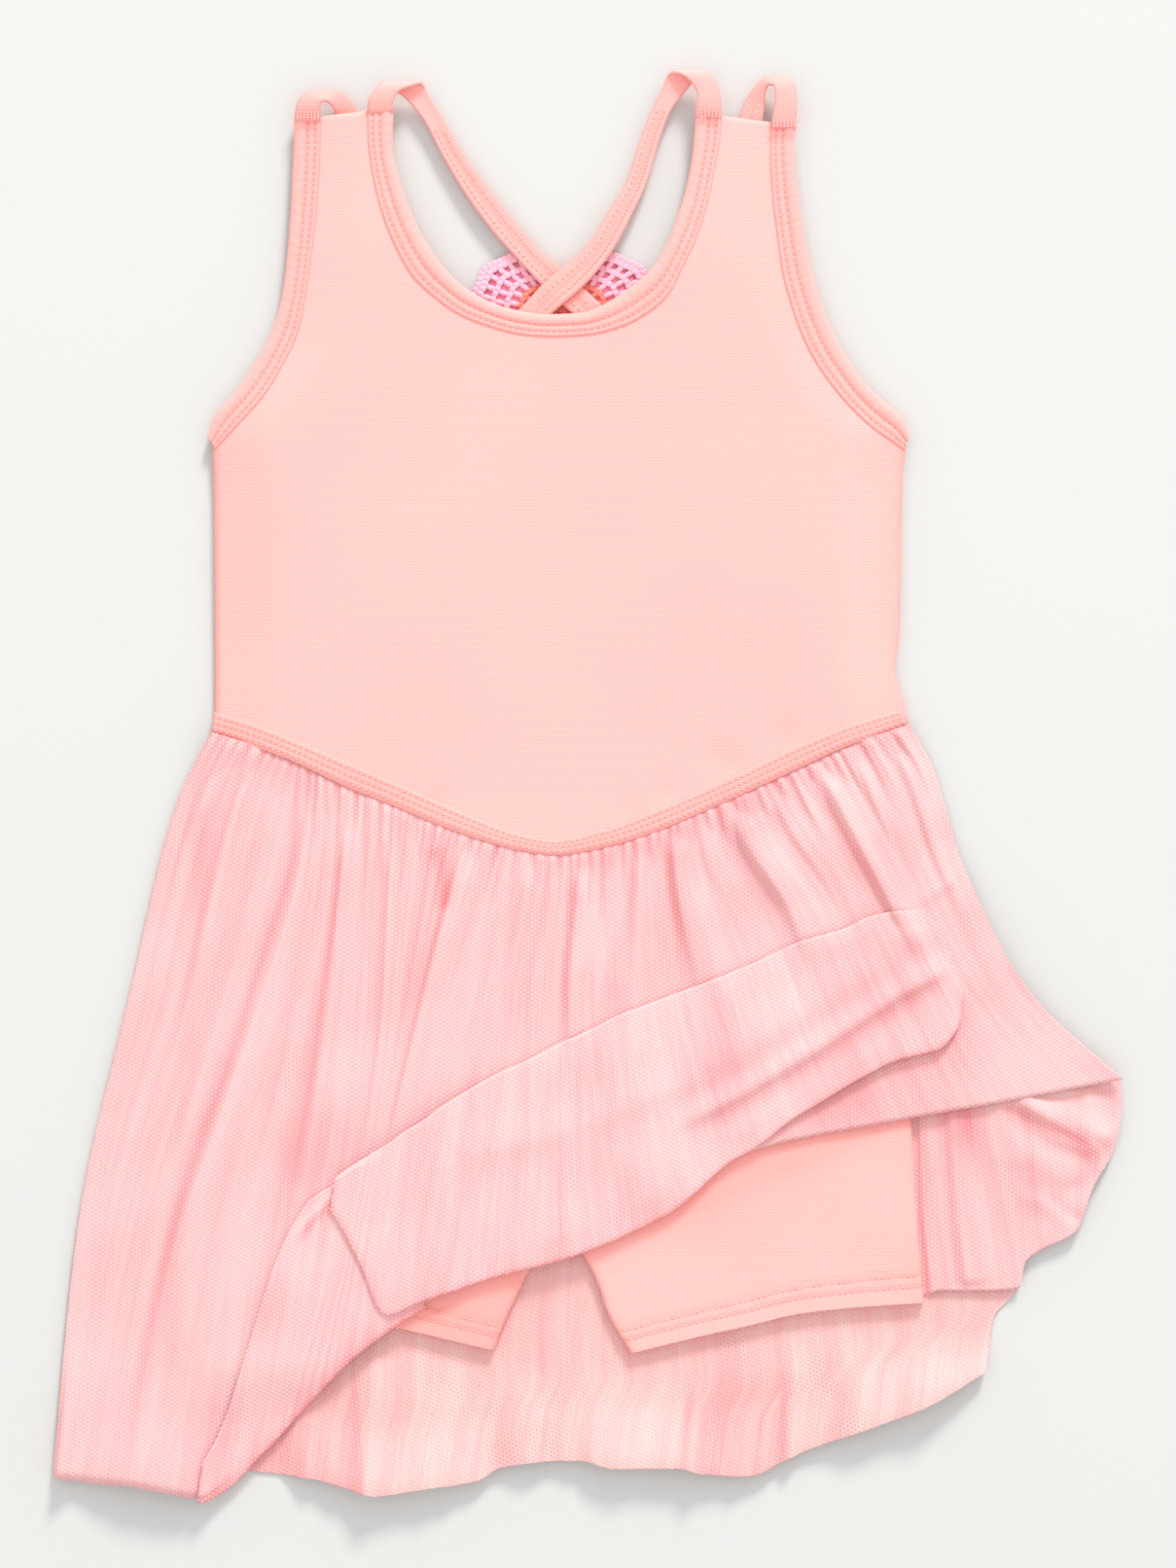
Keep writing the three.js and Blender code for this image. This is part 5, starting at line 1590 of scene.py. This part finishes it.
class FrontCut:
    """The skirt front's place and relief over shares u across and v from the waist down.

    A gather starts above the waist seam, so that it is full at the seam.
    """

    gather_count: int = 78
    gather_start: float = -0.08
    cloth_middle: float = 0.6
    fold_rise: float = 0.09
    gather_rise: float = 0.05
    shade_reach: float = 0.016
    flat_width: float = 500.0
    flat_length: float = 262.0

    def __init__(self) -> None:
        """Read the columns and choose the small gathers."""
        table = np.asarray(SKIRT_COLUMNS, float)
        self.x_tracks = [Track(table[:, 0], column) for column in table[:, 1::2].T]
        self.y_tracks = [Track(table[:, 0], column) for column in table[:, 2::2].T]
        chance = random.Random(12)
        self.gathers = []
        for k in range(self.gather_count):
            self.gathers.append(Fold(
                u=(k + 0.5 + chance.uniform(-0.38, 0.38)) / self.gather_count,
                height=chance.uniform(0.5, 1.9),
                left=chance.uniform(0.0028, 0.0045),
                right=chance.uniform(0.0040, 0.0075),
                start=self.gather_start,
                end=chance.uniform(0.04, 0.22),
                tint=chance.uniform(0.2, 0.8),
                drift=chance.uniform(-0.006, 0.006),
            ))

    def place(self, u: Array, v: Array) -> tuple[Array, Array]:
        """Find places on the front.

        Args:
            u: One row of shares across.
            v: Rows of shares down, one for each u.

        Returns:
            The places across and the places upward.
        """
        x_rows = np.stack([track(u) for track in self.x_tracks])
        y_rows = np.stack([track(u) for track in self.y_tracks])
        y_rows[0] = waist_height(x_rows[0]) + 0.5
        return Track(STATIONS, x_rows)(v), Track(STATIONS, y_rows)(v)

    def base(self, x: Array, y: Array) -> Array:
        """Work out how high the front lies without its folds.

        Args:
            x: Places across.
            y: Places upward.

        Returns:
            The height of what it lies on.
        """
        left = ramp((x - shorts_limit_left(y) + 13) / 11)
        right = np.maximum(ramp((shorts_limit_right(y) + 13 - x) / 11), ramp((-20 - y) / 30))
        below = ramp((y + 258) / 28)
        return mix(SKIRT_ON_BACK, SKIRT_OVER_SHORTS, np.minimum(np.minimum(left, right), below))

    def relief(self, u: Array, v: Array, x: Array, y: Array) -> tuple[Array, Array]:
        """Work out the front's folds and gathers.

        Args:
            u: One row of shares across.
            v: Rows of shares down.
            x: The places across.
            y: The places upward.

        Returns:
            The height of the cloth's middle, and its painted shade and tone.
        """
        u_grid = u[None, :] + np.zeros_like(v)
        hem_at = np.where(u < MIDDLE_ROWS[0][0], corner_hem(u), middle_hem(u))[None, :]
        covered = 1 - 0.72 * ramp((v - hem_at + 0.02) / 0.12)
        height = np.zeros_like(v)
        painted_shade_and_tone = np.zeros_like(v)
        for fold in FRONT_FOLDS + tuple(self.gathers):
            small = fold.start < 0
            rise = ramp((v - fold.start) / (self.gather_rise if small else self.fold_rise))
            fall = 1 - ramp((v - fold.end * 0.4) / (fold.end * 0.6 + 0.04))
            offset = u_grid - fold.u - fold.drift * v
            width = np.where(offset < 0, fold.left, fold.right * (1 + 0.5 * v))
            body = fold.height * rise * fall * bump(offset, width)
            height = np.maximum(height, body * (1 if small else covered))
            # Painted shade at the foot of each fold and gather, on its steep left side.
            foot = bump(offset + fold.left * 1.7, fold.left * 0.9)
            reach = np.exp(-np.maximum(-offset - fold.left, 0) / self.shade_reach) * (offset < 0)
            shade = fold.tint * rise * fall * (0.65 * foot + 0.25 * reach * (0 if small else 1))
            painted_shade_and_tone = np.maximum(painted_shade_and_tone, shade * covered)
        # Painted shade along the gathered waist seam, strongest between the ridges.
        pinch = np.exp(-v / 0.022) * (0.35 + 0.65 * (height < 0.5))
        painted_shade_and_tone = painted_shade_and_tone + 0.55 * pinch
        hem_wave = ramp((v - 0.80) / 0.20) * ramp((0.18 - u_grid) / 0.02)
        height = height + hem_wave * (4.0 + 1.8 * np.sin(u_grid * 60 + np.sin(u_grid * 30)))
        height = height + 0.22 * (1 + undulation(x, y, 31, 34)) * ramp(v / 0.1)
        edge = ramp(u_grid / 0.015) * ramp((1 - u_grid) / 0.015) * (0.1 + 0.9 * ramp(v / 0.016))
        painted_shade_and_tone = painted_shade_and_tone + 0.16 * undulation(x, y, 17, 60)
        return self.base(x, y) + self.cloth_middle + edge * height, painted_shade_and_tone

    def shading(self, u: Array, v: Array, x: Array, y: Array) -> Array:
        """Work out the front's painted shade and tone, with a painted shadow where it shows below the
        turned-up middle.

        Args:
            u: One row of shares across.
            v: Rows of shares down.
            x: The places across.
            y: The places upward.

        Returns:
            The depth of colour.
        """
        _, painted_shade_and_tone = self.relief(u, v, x, y)
        # Painted shadow of the turned-up middle on the front below its low fold.
        shaded = ramp((u[None, :] - 0.66) / 0.08) * (1 - ramp((u[None, :] - 0.86) / 0.06))
        under = v - middle_low(u)[None, :]
        near = np.exp(-np.maximum(under, 0) / 0.10)
        return painted_shade_and_tone + 0.55 * shaded * near * ramp((under + 0.01) / 0.02)

    def cloth_place(self, u: Array, v: Array) -> Array:
        """Return the place on the flat cloth."""
        u_grid = u[None, :] + np.zeros_like(v)
        return np.stack([u_grid * self.flat_width, -v * self.flat_length], axis=-1)


# Creases of the front: a dent and a ridge, each with painted shade beside it.
FRONT_CREASES = (
    Crease(((-61.8, -24.0), (-58.0, -36.0), (-57.0, -52.0)), height=-0.6, tint=0.55, tint_width=3.5),
    Crease(((133.0, -47.0), (148.0, -38.0)), height=0.5, left=2.5, right=2.5, tint=0.2, tint_at=-1.5),
)
# Ridges of the turned-up middle, each with painted shade along its lower side.
MIDDLE_CREASES = (
    Crease(
        ((32.2, -138.8), (64.9, -121.3), (92.6, -104.9), (106.7, -95.2), (125.4, -83.1), (141.8, -74.5),
         (154.6, -67.9)),
        height=2.2, left=5.0, right=3.0, tint=0.30, tint_at=-4.5, tint_width=4.0,
    ),
    Crease(
        ((-60.0, -150.0), (-10.0, -138.0), (40.0, -118.0), (90.0, -88.0), (128.0, -66.0)),
        height=0.9, left=9.0, right=6.0, tint=0.10, tint_at=-8.0, tint_width=6.0,
    ),
    Crease(
        ((120.0, -62.0), (142.0, -58.0), (160.0, -68.0), (180.0, -92.0)),
        height=1.2, left=4.0, right=6.0, tint=0.25, tint_at=-5.0, tint_width=4.0,
    ),
)
# The corner's rolled hem: a painted highlight along it, and painted shade just inside it.
CORNER_CREASES = (
    Crease(
        ((-78.6, -142.7), (-92.2, -153.3), (-100.4, -159.5), (-106.7, -165.4), (-115.2, -173.9),
         (-121.5, -183.7)),
        tint=-0.45, tint_at=1.6, tint_width=2.0, fade=0.2,
    ),
    Crease(
        ((-80.6, -144.7), (-94.2, -155.3), (-104.0, -163.5), (-113.0, -173.0), (-120.5, -183.7)),
        height=-0.4, tint=0.60, tint_at=3.4, tint_width=1.8, fade=0.2,
    ),
)
# The side's lip with painted shade below it and a painted highlight along its top, and a soft fold with
# painted shade beside it.
SIDE_CREASES = (
    Crease(
        ((166.0, -124.0), (176.9, -128.5), (192.1, -136.5), (201.4, -142.0), (210.4, -150.0)),
        height=2.4, left=9.0, right=3.0, tint=0.55, tint_at=-3.6, tint_width=3.0, fade=0.2,
    ),
    Crease(
        ((172.0, -122.0), (186.0, -126.0), (204.0, -133.0), (211.0, -140.0)),
        tint=-0.35, tint_width=6.0, fade=0.05,
    ),
    Crease(
        ((146.0, -126.0), (147.5, -150.0), (150.5, -180.0), (153.0, -202.0)),
        height=1.5, left=8.0, right=2.6, tint=0.30, tint_at=-3.4, tint_width=3.0, fade=0.05,
    ),
)


@dataclass(frozen=True)
class TurnedCloth:
    """A stretch of the skirt front that was lifted and turned up, lying on the front.

    It runs from its low fold up to its hem. Where bend is 1 the fold is a full turn, and where it
    is 0 the low edge is only rolled in a little. Past flush_from its end sinks into the front.
    """

    name: str
    node: str
    start: float
    end: float
    hem: Callable[[Array], Array]
    low: Callable[[Array], Array]
    lift: Callable[[Array, Array], Array]
    bend: Callable[[Array], Array]
    creases: tuple[Crease, ...]
    seed: int
    flush_from: float = 2.0
    columns: int = 260
    rows: int = 64
    round_rows: int = 9
    length_mm: float = 260.0
    drape: float = 0.35
    sunk: float = 0.45
    rolled: float = 0.62
    rolled_flush: float = 0.05

    def face(
        self, cut: FrontCut, u: Array, share: Array, tint: Callable
    ) -> tuple[Array, Array, Array, Array]:
        """Work out the turned cloth without its fold.

        Args:
            cut: The skirt front that it lies on.
            u: One row of shares across.
            share: A column of shares from the hem to the low edge.
            tint: Extra depth of colour for a share and a place.

        Returns:
            The shares down, the points, the heights of the front below them and the depths of colour.
        """
        low = self.low(u)
        hem = np.minimum(self.hem(u), low - 0.012)[None, :]
        low = low[None, :]
        v = mix(hem, low, share)
        x, y = cut.place(u, v)
        under, _ = cut.relief(u, v, x, y)
        soft = 1 + undulation(x, y, self.seed, 40)
        own = self.drape * soft * ramp(share / 0.1) * ramp((1 - share) / 0.12)
        z = under + self.lift(u[None, :], v) + own
        painted_shade_and_tone = 0.14 * undulation(x, y, self.seed + 3, 55) + tint(share + 0 * v, x, y)
        # Painted shade along the low fold and a painted highlight along the hem.
        painted_shade_and_tone = painted_shade_and_tone + 0.25 * bump((low - v) * self.length_mm, 2.2)
        painted_shade_and_tone = painted_shade_and_tone - 0.25 * bump((v - hem) * self.length_mm, 1.6)
        z, painted_shade_and_tone = add_creases(self.creases, x, y, z, painted_shade_and_tone)
        past = u[None, :] - self.flush_from
        flush = ramp(past / 0.05) * ramp((v - low + 0.16) / 0.10)
        flush = np.maximum(flush, ramp((past + 0.03) / 0.11))
        z = mix(z, under - self.sunk, flush)
        painted_shade_and_tone = mix(painted_shade_and_tone, cut.shading(u, v, x, y) + 0.12, ramp((past + 0.02) / 0.06))
        return v, np.stack([x, y, z], axis=-1), under, painted_shade_and_tone

    def roll(self, u: Array, edge: Array, gap: Array) -> Array:
        """Turn the low edge under.

        Args:
            u: One row of shares across.
            edge: The points of the low edge.
            gap: How high each lies over the front.

        Returns:
            Rows of points round the turn.
        """
        along = np.gradient(edge[:, :2], axis=0)
        along /= np.linalg.norm(along, axis=1)[:, None]
        bend = self.bend(u)
        small = mix(self.rolled, self.rolled_flush, ramp((u - self.flush_from) / 0.05))
        radius = mix(small, gap / 2, bend)
        turn = mix(2.5, math.pi, bend)
        rows = []
        for k in range(1, self.round_rows + 1):
            angle = math.pi / 2 - k / self.round_rows * turn
            reach = radius * (0.4 + np.cos(angle))
            rows.append(np.stack([
                edge[:, 0] + along[:, 1] * reach,
                edge[:, 1] - along[:, 0] * reach,
                edge[:, 2] - radius + np.sin(angle) * radius,
            ], axis=-1))
        return np.stack(rows)

    def build(self, cut: FrontCut, finish: bpy.types.Material, tint: Callable) -> bpy.types.Object:
        """Build the turned cloth.

        Args:
            cut: The skirt front that it lies on.
            finish: Its material.
            tint: Extra depth of colour for a share and a place.

        Returns:
            The new object.
        """
        u = np.linspace(self.start, self.end, self.columns + 1)
        share = np.linspace(0, 1, self.rows + 1)[:, None]
        v, points, under, painted_shade_and_tone = self.face(cut, u, share, tint)
        rolled = self.roll(u, points[-1], points[-1, :, 2] - under[-1])
        flat = cut.cloth_place(u, v)
        more = np.linspace(0.5, 3.0, self.round_rows)[:, None]
        flat_roll = np.stack([flat[-1, :, 0] + 0 * more, flat[-1, :, 1] - more], axis=-1)
        # The rolled low edge gets more painted shade.
        swatch = Swatch(
            np.concatenate([points, rolled]),
            np.concatenate([painted_shade_and_tone, np.repeat(painted_shade_and_tone[-1:] + 0.15, self.round_rows, axis=0)]),
            np.concatenate([flat, flat_roll]),
        )
        return cloth_mesh(self.name, self.node, [swatch], finish, TULLE_WALL)


def middle_lift(u: Array, v: Array) -> Array:
    """Work out how high the turned-up middle lies over the front.

    Args:
        u: Shares across.
        v: Shares down.

    Returns:
        The height.
    """
    over_corner = 1 - ramp((u - 0.43) / 0.03)
    lifted = 1.4 * ramp((u - 0.66) / 0.08) * ramp((0.90 - u) / 0.06) * ramp((v - middle_low(u) + 0.12) / 0.12)
    right_end = 1 - 0.72 * ramp((u - 0.87) / 0.06)
    return LAYER * (1 + over_corner) * right_end + lifted


@dataclass(frozen=True)
class BackFold:
    """A soft wave of the skirt's back below the shorts."""

    x: float
    height: float
    width: float


@dataclass(frozen=True)
class Skirt:
    """The tulle skirt: gathered front, its turned-up parts, the fall at the right and the back."""

    back_hem: Points = (
        (-211.2, -273.4), (-184.7, -274.9), (-139.4, -275.7), (-129.3, -276.5), (-109.8, -278.5),
        (-95.7, -282.0),
        (-85.2, -284.7), (-64.5, -282.0), (-43.9, -279.2), (-34.9, -274.2), (-15.4, -271.4), (-1.8, -271.1),
        (9.9, -273.8), (36.9, -273.8), (46.6, -276.1), (64.2, -277.3), (82.5, -269.5), (95.4, -264.4),
        (111.0, -258.6), (126.2, -253.1), (137.9, -248.0), (160.1, -235.6),
    )
    side_low: Points = (
        (133.0, -206.8), (142.2, -203.2), (158.5, -203.2), (173.4, -202.0), (176.1, -191.5), (181.5, -187.2),
        (196.0, -179.4), (203.4, -161.1), (210.4, -149.4),
    )
    side_high: Points = (
        (128.2, -122.1), (135.1, -122.1), (144.9, -121.3), (154.6, -119.7), (166.3, -118.2), (178.0, -116.6),
        (189.7, -115.0), (199.5, -114.3), (214.2, -118.6),
    )
    side_end: Points = ((210.4, -149.4), (213.0, -141.0), (214.8, -130.0), (214.2, -118.6))
    shorts_edge: Points = ((136.0, -206.8), (134.6, -191.9), (132.6, -168.5), (131.2, -122.1))
    back_left: Points = ((-211.2, -273.4), (-201.9, -179.4), (-180.6, -81.1), (-161.9, -6.2))
    back_right: Points = (
        (160.1, -235.6), (161.7, -225.8), (164.0, -213.7), (173.0, -201.6), (171.0, -184.5), (172.2, -133.8),
        (166.3, -79.2), (148.8, -36.3),
    )
    shorts_hem: Points = (
        (-215, -222), (-159, -222), (-86, -216), (-37, -227), (-12, -228), (18, -228), (64, -217),
        (135, -212), (175, -216),
    )
    back_folds: tuple[BackFold, ...] = (
        BackFold(-118.0, 1.4, 6), BackFold(-88.0, 2.6, 5), BackFold(-60.0, 1.4, 12), BackFold(-24.0, 2.4, 8),
        BackFold(8.0, 1.6, 10), BackFold(43.0, 3.0, 3.5), BackFold(62.0, 1.4, 9), BackFold(81.0, 2.8, 3.0),
        BackFold(108.0, 2.2, 9), BackFold(134.0, 2.0, 8),
    )

    def build(self, finishes: Wardrobe) -> None:
        """Args:
            finishes: The finishes of the dress.
        """
        cut = FrontCut()
        front = self.front(cut, finishes.tulle)
        corner = TurnedCloth(
            "skirt_corner_tulle", "skirt_turned_corner", 0.165, 0.425, corner_hem, self.front_low,
            lambda u, v: np.full_like(v, LAYER), np.ones_like, CORNER_CREASES, 41, columns=150, rows=110,
        ).build(cut, finishes.tulle_turned, self.corner_tint)
        middle = TurnedCloth(
            "skirt_middle_tulle", "skirt_turned_middle", 0.232, 0.972, middle_hem, middle_low, middle_lift,
            lambda u: ramp((u - 0.44) / 0.02) * ramp((0.65 - u) / 0.03), MIDDLE_CREASES, 47, flush_from=0.87,
        ).build(cut, finishes.tulle_turned, self.middle_tint)
        side = self.side(finishes.tulle)
        back = self.back(finishes.tulle_back)

    @staticmethod
    def front_low(u: Array) -> Array:
        """Return how far down the front's cloth reaches: a little less past its left corner."""
        return 1 - 0.008 * ramp((u - 0.165) / 0.01)

    @staticmethod
    def corner_tint(share: Array, x: Array, y: Array) -> Array:
        """Return the corner's extra depth of colour, with painted shade along its fold."""
        return 0.12 + 0.25 * bump((share - 1) * 40, 6) + 0 * x

    @staticmethod
    def middle_tint(share: Array, x: Array, y: Array) -> Array:
        """Return the middle's extra depth of colour: light at the left, deeper at the right."""
        return 0.06 + 0.22 * ramp((x - 70) / 70) + 0.10 * ramp((y + 150) / -40)

    def front(self, cut: FrontCut, finish: bpy.types.Material) -> bpy.types.Object:
        """Build the stretch that hangs from the waist.

        Args:
            cut: The skirt front's place and relief.
            finish: Its material.

        Returns:
            The new object.
        """
        u = np.linspace(0, 1, 421)
        rows = np.linspace(0, 1, 97) ** 1.25
        v = rows[::-1, None] * self.front_low(u)[None, :]
        x, y = cut.place(u, v)
        z, _ = cut.relief(u, v, x, y)
        z, painted_shade_and_tone = add_creases(FRONT_CREASES, x, y, z, cut.shading(u, v, x, y))
        swatch = Swatch(np.stack([x, y, z], axis=-1), painted_shade_and_tone, cut.cloth_place(u, v))
        return cloth_mesh("skirt_front_tulle", "skirt_front", [swatch], finish, TULLE_WALL)

    def side(self, finish: bpy.types.Material) -> bpy.types.Object:
        """Build the side of the skirt that falls out below the front at the right.

        Args:
            finish: Its material.

        Returns:
            The new object.
        """
        place = patch(
            Curve(self.side_low), Curve(self.side_high),
            shifted(Curve(self.shorts_edge), -3.0, 0.0), Curve(self.side_end),
        )
        s, t = shares(180, 70)
        x, y = np.moveaxis(place(s, t), -1, 0)
        fan = np.degrees(np.arctan2(x - 150, -98 - y))
        turn = fan / 5.2 + 0.9 * np.sin(fan / 9.0) + 1.3 * undulation(x, y, 61, 26)
        strength = ramp((fan - 14) / 14) * ramp((1 - s) / 0.06) * ramp((y + 196) / 30)
        wave = (0.5 - 0.5 * np.cos(turn * 2)) * strength
        broad = 0.5 + 0.5 * np.sin(fan / 11 - 0.8)
        z = 2.2 + (0.9 * wave + 1.0 * broad) * ramp(s / 0.05)
        # Painted shade in the troughs of the gathers, a painted shadow under the lip, and painted shade below
        # the front's edge and along the shorts' edge.
        painted_shade_and_tone = 0.24 * (strength - wave) * ramp(t / 0.3) + 0.12 * (1 - broad)
        painted_shade_and_tone = painted_shade_and_tone + 0.80 * np.exp(-(((x - 153 - 0.25 * (-138 - y)) / 5.5) ** 2) - ((y + 136) / 13) ** 2)
        painted_shade_and_tone = painted_shade_and_tone + 0.35 * bump(y + 121 - 0.16 * (x - 131), 7) + 0.30 * bump(x - 135.5, 3.0)
        z, painted_shade_and_tone = add_creases(SIDE_CREASES, x, y, z, painted_shade_and_tone)
        edge = Curve(self.shorts_edge)(np.linspace(0, 1, 41))
        z = mix(0.89, z, ramp((x - np.interp(y, edge[:, 1], edge[:, 0]) - 0.4) / 2.6))
        swatch = Swatch(np.stack([x, y, z], axis=-1), painted_shade_and_tone, np.stack([s * 120, t * 90], axis=-1))
        return cloth_mesh("skirt_side_tulle", "skirt_side_fall", [swatch], finish, TULLE_WALL)

    def back(self, finish: bpy.types.Material) -> bpy.types.Object:
        """Build the back, which lies on the surface and waves below the shorts.

        Args:
            finish: Its material.

        Returns:
            The new object.
        """
        waist = waist_span(-148.7, 126.9, 0.6)
        waist_left, waist_right = waist(np.array([0.0, 1.0]))
        place = patch(
            Curve(self.back_hem), waist,
            Curve([*self.back_left, waist_left]), Curve([*self.back_right, waist_right]),
        )
        s, t = shares(380, 90)
        t = t**1.5
        x, y = np.moveaxis(place(s, t), -1, 0)
        hem_of_shorts = Track(*zip(*self.shorts_hem))(x)
        lean = 0.07 * (y + 275)
        below = ramp((hem_of_shorts - 4 - y) / 26)
        height = np.zeros_like(x)
        painted_shade_and_tone = np.zeros_like(x)
        for fold in self.back_folds:
            offset = x - fold.x - lean
            height = np.maximum(height, fold.height * bump(offset, fold.width))
            # Painted shade at the left foot of each fold.
            painted_shade_and_tone = painted_shade_and_tone + 0.3 * bump(offset + fold.width * 1.2, fold.width * 0.5) * fold.height / 3
        ruffle = 0.35 * np.sin(x / 2.3 + 2 * np.sin(x / 9)) * ramp((-262 - y) / 10)
        ruffle = ruffle + (4.4 + 2.2 * np.sin(x / 17)) * ramp(1 - t / 0.12) ** 1.5
        z = 0.5 + (height + 0.4 + ruffle) * below * ramp((x + 125) / 14)
        # A deeper stripe where the pleat lies double, darker colour left of the fold line at x = -88, and
        # painted shade under the shorts' hem.
        band = ramp((x - 41.5 - lean) / 2) * ramp((81 - x) / 2)
        shadow = ramp((y - hem_of_shorts + 22) / 22)
        past_fold = ramp((-89 - lean - x) / 1.5)
        painted_shade_and_tone = (painted_shade_and_tone + 0.32 * band + 0.40 * past_fold) * below + 0.20 * shadow
        swatch = Swatch(np.stack([x, y, z], axis=-1), painted_shade_and_tone, np.stack([s * 420, t * 290], axis=-1))
        return cloth_mesh("skirt_back_tulle", "skirt_back", [swatch], finish, TULLE_WALL)


@dataclass(frozen=True)
class Studio:
    """Paper floor, soft light from the upper right, and a camera straight above. Sizes are in metres."""

    floor_size: float = 30.0
    floor_height: float = -0.0002
    camera_place: tuple[float, float, float] = (0.00039, 0.00039, 1.4896)
    lens_mm: float = 85.0
    sensor_mm: float = 36.0
    key_place: tuple[float, float, float] = (1.60, 6.10, 3.00)
    key_size: float = 1.60
    key_power: float = 430.0
    key_colour: tuple[float, float, float] = (1.0, 0.99, 0.98)
    fill: float = 0.98

    def build(self) -> None:
        """Build the floor, the lights and the camera."""
        self.floor()
        self.lights()
        self.camera()

    def floor(self) -> None:
        """Lay the paper."""
        bm = bmesh.new()
        bmesh.ops.create_grid(bm, x_segments=2, y_segments=2, size=self.floor_size)
        bmesh.ops.translate(bm, verts=bm.verts, vec=(0.0, 0.0, self.floor_height))
        finish_mesh("studio_floor", bm, PaperFinish().material())

    def lights(self) -> None:
        """Set the soft light all round and the lamp that gives the shadows."""
        world = bpy.data.worlds.new("soft_studio_light")
        world.use_nodes = True
        tree = world.node_tree
        tree.nodes.clear()
        sky = add_node(tree, "Background", {"Color": rgb("FFFFFF"), "Strength": self.fill})
        add_node(tree, "OutputWorld", {"Surface": sky})
        bpy.context.scene.world = world
        lamp = bpy.data.lights.new("key_softbox", "AREA")
        lamp.shape = "DISK"
        lamp.size = self.key_size
        lamp.energy = self.key_power
        lamp.color = self.key_colour
        key = bpy.data.objects.new("key_softbox", lamp)
        key.location = self.key_place
        key.rotation_euler = (-Vector(self.key_place)).to_track_quat("-Z", "Y").to_euler()
        bpy.context.collection.objects.link(key)

    def camera(self) -> None:
        """Hang the camera over the dress, looking down."""
        lens = bpy.data.cameras.new("overhead_camera")
        lens.lens = self.lens_mm
        lens.sensor_width = self.sensor_mm
        camera = bpy.data.objects.new("overhead_camera", lens)
        camera.location = self.camera_place
        bpy.context.collection.objects.link(camera)
        scene = bpy.context.scene
        scene.camera = camera
        scene.view_settings.view_transform = "Standard"
        scene.cycles.transparent_max_bounces = 32


INNER_STRAP_CUT = (0.0100, 0.220)
OUTER_STRAP_CUT = (0.0100, 0.165)
STRAPS = (
    Strap("strap_left_inner", INNER_STRAP_CUT, 0.62),
    Strap("strap_right_inner", INNER_STRAP_CUT, 0.62),
    Strap("strap_left_outer", OUTER_STRAP_CUT, 0.36),
    Strap("strap_right_outer", OUTER_STRAP_CUT, 0.36),
)
BARTACKS = (
    Bartack("bartack_left_outer", (-116.6, 267.0, 7.9), (-107.0, 267.0, 7.9)),
    Bartack("bartack_right_inner", (43.6, 267.6, 8.6), (53.8, 267.4, 8.6)),
    Bartack("bartack_right_outer", (74.0, 263.8, 8.0), (83.8, 263.6, 8.0)),
)


def main() -> None:
    """Build the dress and its studio."""
    logging.basicConfig(level=logging.INFO, format="%(name)s %(message)s")
    finishes = Wardrobe.make()
    Studio().build()
    for part in (Bodice(), Trim(), *STRAPS, *BARTACKS, CrochetHeart(), Shorts(), Skirt()):
        part.build(finishes)


if __name__ == "__main__":
    main()
